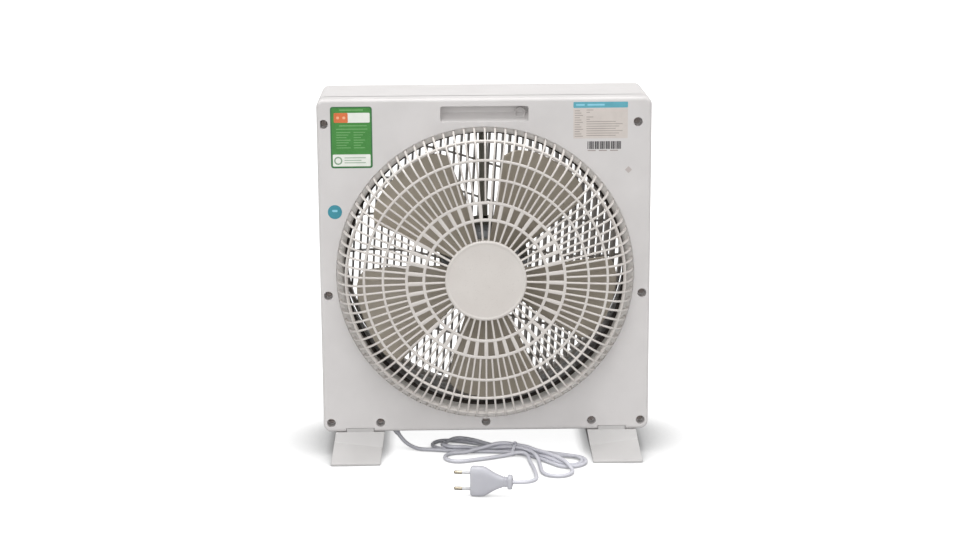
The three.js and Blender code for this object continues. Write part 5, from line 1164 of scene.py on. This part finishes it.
def make_energy_label():
    """A green label with plain bars in the place of its print."""
    left, right, low, high = -178.0, -129.7, 349.6, 421.4
    sticker("energy_label_border", DARK_GREEN_PRINT, (left, right, low, high, 0, 3.0))
    sticker("energy_label_field", GREEN_PRINT, (left + 1.7, right - 1.7, low + 1.7, high - 1.6, 1, 2.0))
    sticker("energy_label_band", WHITE_PRINT, (left + 4.2, right - 2.6, high - 18.6, high - 7.2, 2, 1.2),
            (left + 2.2, right - 2.4, low + 2.2, low + 16.2, 2, 1.2))
    sticker("energy_label_square", ORANGE_PRINT, (left + 4.2, left + 20.4, high - 18.6, high - 7.2, 3, 1.2))
    sticker("energy_label_arrows", PALE_ORANGE_PRINT,
            *[(x, x + 3.4, high - 14.4, high - 11.4, 4, 1.2) for x in (left + 7.0, left + 14.2)])
    headings = [(left + 10.6, right - 10.2, high - 4.6, high - 3.2),
                (left + 10.2, right - 6.2, high - 22.8, high - 21.6),
                (left + 6.6, right - 5.4, high - 26.6, high - 25.6)]
    columns = [(x, x + length - 2.4 * (i % 3), high - 30.4 - 3.0 * i, high - 29.4 - 3.0 * i)
               for i in range(7) for x, length in ((left + 6.6, 16.6), (left + 26.6, 13.4))]
    sticker("energy_label_rules", PALE_GREEN_PRINT, *[(*line, 2, 0.3) for line in headings + columns])
    lines = [(left + 15.6, right - 8 - 5 * (i % 2), low + 11.8 - 2.9 * i, low + 12.6 - 2.9 * i, 3, 0.3)
             for i in range(3)]
    sticker("energy_label_round_mark", SOFT_GREEN_PRINT,
            (left + 3.6, left + 13.2, low + 4.0, low + 13.6, 3, 4.8), *lines)
    sticker("energy_label_round_middle", WHITE_PRINT,
            (left + 5.2, left + 11.6, low + 5.6, low + 12.0, 4, 3.1))


def make_rating_label():
    """A pale label with a blue header and plain rules, and a row of bars below it."""
    sticker("rating_label_header", TEAL_PRINT, (*RATING_LABEL, 417.7, 424.6, 0, 0.8))
    sticker("rating_label_header_words", SKY_PRINT, (106, 116, 420.2, 422.2, 1, 0.4),
            (119, 139, 420.2, 422.2, 1, 0.4))
    sticker("rating_label_field", PALE_PRINT, (*RATING_LABEL, 382.0, 417.2, 0, 0.8))
    rows = [(i, 414.8 - 2.7 * i) for i in range(12)]
    names = [(104.4, 110.4 + 1.8 * (i % 3), y - 0.9, y, 1, 0.2) for i, y in rows]
    values = [(118, (126 if i < 5 else 160) - 4 * (i % 3), y - 0.1, y + 0.8, 1, 0.2) for i, y in rows]
    sticker("rating_label_rules", RULE_INK, *names, *values)
    bars = [(x, x + (1.7 if i % 3 else 1.1), 369.5, 378.6, 0, 0.15)
            for i, x in enumerate(119.4 + 2.1 * i for i in range(19))]
    sticker("rating_label_bars", BAR_INK, *bars)
    sticker("rating_label_bar_numbers", RULE_INK,
            *[(119.6 + 13 * i, 129 + 13 * i, 367.2, 368.4, 0, 0.3) for i in range(3)])


def make_small_marks():
    """A round film sticker with one bar of print, and a small moulded square on its point."""
    bm = bmesh.new()
    cap(bm, extrude_rim(bm, circle(bm, 8.3, *ROUND_STICKER, REAR + 0.02, 48), (0, 0, 0.12)))
    show("round_sticker", bm, CYAN_PRINT, "housing_white")
    sticker("round_sticker_word", SKY_PRINT, (-178.0, -171.6, 298.0, 300.6, 3, 1.2))
    bm = bmesh.new()
    verts = box(bm, -2.9, 2.9, -2.9, 2.9, REAR - 0.4, REAR + 0.25)
    turn_and_place(bm, verts, "Z", pi / 4, (167.3, 345.0, 0))
    # The mark's darker grey is painted shade for its relief.
    show("moulded_diamond", bm, DIAMOND_ABS, "housing_white", bevel=0.15)


# ---- strain relief

CORD_EXIT = Matrix.Translation((-114, BASE, 35))
SLEEVE_LEAN = radians(35)
SLEEVE_RADIUS, SLEEVE_LENGTH = 3.9, 15
FLEX_SLOTS, SLOT_PITCH = 5, 2.5


def make_strain_relief():
    """A soft moulded sleeve that tapers along the cord, with flex slots round it, and its flange."""
    downwards = Matrix.Rotation(pi / 2, 4, "X")
    profile = [(2.5, -6), (SLEEVE_RADIUS, -6), (SLEEVE_RADIUS, 0.6)]
    for i in range(FLEX_SLOTS):
        z = 1.6 + SLOT_PITCH * i
        radius = SLEEVE_RADIUS - 0.95 * (z / SLEEVE_LENGTH)
        profile += [(radius, z), (radius, z + 1.4), (radius - 0.55, z + 1.7), (radius - 0.6, z + 2.2)]
    profile += [(2.95, SLEEVE_LENGTH - 0.6), (2.7, SLEEVE_LENGTH), (2.5, SLEEVE_LENGTH)]
    flange = [(2.8, 0.3), (6, 0.3), (6, 1.6), (5.2, 2.3), (2.8, 2.3)]
    for name, section, turn, replaced in (
            ("flange", flange, downwards, []),
            ("sleeve", profile, Matrix.Rotation(SLEEVE_LEAN, 4, "Z") @ downwards, ["strain_relief"])):
        bm = bmesh.new()
        revolve(bm, section, 32, 0, 0)
        bmesh.ops.transform(bm, matrix=CORD_EXIT @ turn, verts=bm.verts)
        show("strain_relief_" + name, bm, CORD_PVC_PAINTED_LIGHT, "cord_vinyl", replaced, crease=40)


make_rear_cover()
make_front_housing()
make_guard()
make_impeller()
make_louvre_wheel()
make_bracket()
make_motor()
make_screws()
make_foot(-1, "foot_left")
make_foot(1, "foot_right")
make_knob("speed_knob", "speed_control")
make_knob("timer_knob", "timer_control")
make_dial("speed_knob", "speed_dial_print", ["0", "1", "2", "3"], 135)
make_dial("timer_knob", "timer_dial_print", ["0", "15", "30", "60", "90", "120"], 300)
make_rocker_bezel()
make_energy_label()
make_rating_label()
make_small_marks()
make_strain_relief()

# The CAD solids that stay keep their shape and take a finish of their own.
for material, names in (
        (LAMINATIONS, ("motor_stator", "motor_rotor")),
        (BEARING_BRONZE, ("rear_bearing", "front_bearing")),
        (SHAFT_STEEL, ("motor_shaft", "louvre_motor", "louvre_shaft", "speed_spindle", "timer_spindle")),
        (DARK_NYLON, ("speed_switch", "timer", "capacitor")),
        (KNOB_ABS, ("louvre_rocker",)),
        (TERMINAL_PA, ("terminal_block",)),
        (SCREW_STEEL, ("motor_bolt_left", "motor_bolt_right", "bracket_screw_top_left",
                       "bracket_screw_top_right", "bracket_screw_bottom_left",
                       "bracket_screw_bottom_right"))):
    for name in names:
        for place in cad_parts[name].material_slots:
            place.material = material


# ---- floor, backdrop and light

WHITE = (1.0, 1.0, 1.0, 1.0)
FLOOR_SIZE = 30  # metres
FEET_FROM, FEET_TO = 110, 170  # beyond the first, the floor's shadows widen, as beside the feet
CONTACT_REACH, FOOT_SHADOW_REACH = 18.0, 130.0  # how far the soft shadows spread, by the cord and by the feet
CONTACT_DARK, FOOT_DARK = 0.34, -0.5  # the floor's glow where they are deepest
OPEN_FLOOR = 0.93  # and where nothing shades it
ROOM_NEAR, ROOM_FAR = 0.72, 0.21
# name, strength, spread in degrees, direction it comes from
LAMPS = (("soft_key", 0.79, 50, (0.12, 0.86, 0.46)), ("overhead_box", 2.26, 44, (0.02, 0.12, 1.0)))


def floor_material():
    """White to the lens, with soft contact shadows, and a plain grey to everything else."""
    material, output = blank("studio_floor_white")
    seen = node(material, "ShaderNodeLightPath").outputs["Is Camera Ray"]
    plain = node(material, "ShaderNodeBsdfDiffuse", {"Color": linear("#c2c2c2")})
    lit = node(material, "ShaderNodeBsdfDiffuse", {"Color": (0.36, 0.36, 0.36, 1.0)})
    place = node(material, "ShaderNodeTexCoord").outputs["Object"]
    place = node(material, "ShaderNodeSeparateXYZ", {0: place})
    across = node(material, "ShaderNodeMath", {0: place.outputs["X"]}, operation="ABSOLUTE")
    feet = {"Value": across.outputs["Value"], "From Min": FEET_FROM * MM, "From Max": FEET_TO * MM}
    reach = node(material, "ShaderNodeMapRange", {
        **feet, "To Min": CONTACT_REACH * MM, "To Max": FOOT_SHADOW_REACH * MM})
    darkest = node(material, "ShaderNodeMapRange", {**feet, "To Min": CONTACT_DARK, "To Max": FOOT_DARK})
    nearby = node(material, "ShaderNodeAmbientOcclusion", {"Distance": reach.outputs["Result"]}, samples=12)
    strength = node(material, "ShaderNodeMapRange", {
        "Value": nearby.outputs["AO"], "To Min": darkest.outputs["Result"], "To Max": OPEN_FLOOR})
    glow = node(material, "ShaderNodeEmission", {"Color": WHITE, "Strength": strength.outputs["Result"]})
    bright = node(material, "ShaderNodeAddShader", {0: lit.outputs["BSDF"], 1: glow.outputs["Emission"]})
    mixed = node(material, "ShaderNodeMixShader", {
        "Fac": seen, 1: plain.outputs["BSDF"], 2: bright.outputs["Shader"]})
    material.node_tree.links.new(mixed.outputs["Shader"], output.inputs["Surface"])
    return material


def make_floor():
    """The stage that the fan stands on."""
    bm = bmesh.new()
    bmesh.ops.create_grid(bm, x_segments=1, y_segments=1, size=FLOOR_SIZE)
    mesh = bpy.data.meshes.new("studio_floor")
    bm.to_mesh(mesh)
    bm.free()
    mesh.materials.append(floor_material())
    floor = bpy.data.objects.new("studio_floor", mesh)
    bpy.context.collection.objects.link(floor)


def light_room():
    """A room that is brighter behind the lens, plain white wherever it shows, and two broad soft lights."""
    world = bpy.data.worlds.new("studio_room")
    world.use_nodes = True
    world.node_tree.nodes.clear()
    way = node(world, "ShaderNodeSeparateXYZ", {0: node(world, "ShaderNodeTexCoord").outputs["Generated"]})
    behind_lens = node(world, "ShaderNodeMapRange", {
        "Value": way.outputs["Y"], "From Min": -0.4, "From Max": 0.5,
        "To Min": ROOM_FAR, "To Max": ROOM_NEAR})
    room = node(world, "ShaderNodeBackground", {"Color": WHITE, "Strength": behind_lens.outputs["Result"]})
    backdrop = node(world, "ShaderNodeBackground", {"Color": WHITE, "Strength": 1.0})
    path = node(world, "ShaderNodeLightPath")
    direct = path.outputs["Is Camera Ray"]
    for ray in ("Is Glossy Ray", "Is Transmission Ray"):
        either = node(world, "ShaderNodeMath", {0: direct, 1: path.outputs[ray]}, operation="MAXIMUM")
        direct = either.outputs["Value"]
    both = node(world, "ShaderNodeMixShader", {
        "Fac": direct, 1: room.outputs["Background"], 2: backdrop.outputs["Background"]})
    node(world, "ShaderNodeOutputWorld", {"Surface": both.outputs["Shader"]})
    bpy.context.scene.world = world
    for name, energy, spread, direction in LAMPS:
        lamp = bpy.data.lights.new(name, "SUN")
        lamp.energy = energy
        lamp.angle = radians(spread)
        holder = bpy.data.objects.new(name, lamp)
        holder.matrix_world = Vector(direction).to_track_quat("Z", "Y").to_matrix().to_4x4()
        bpy.context.collection.objects.link(holder)


make_floor()
light_room()
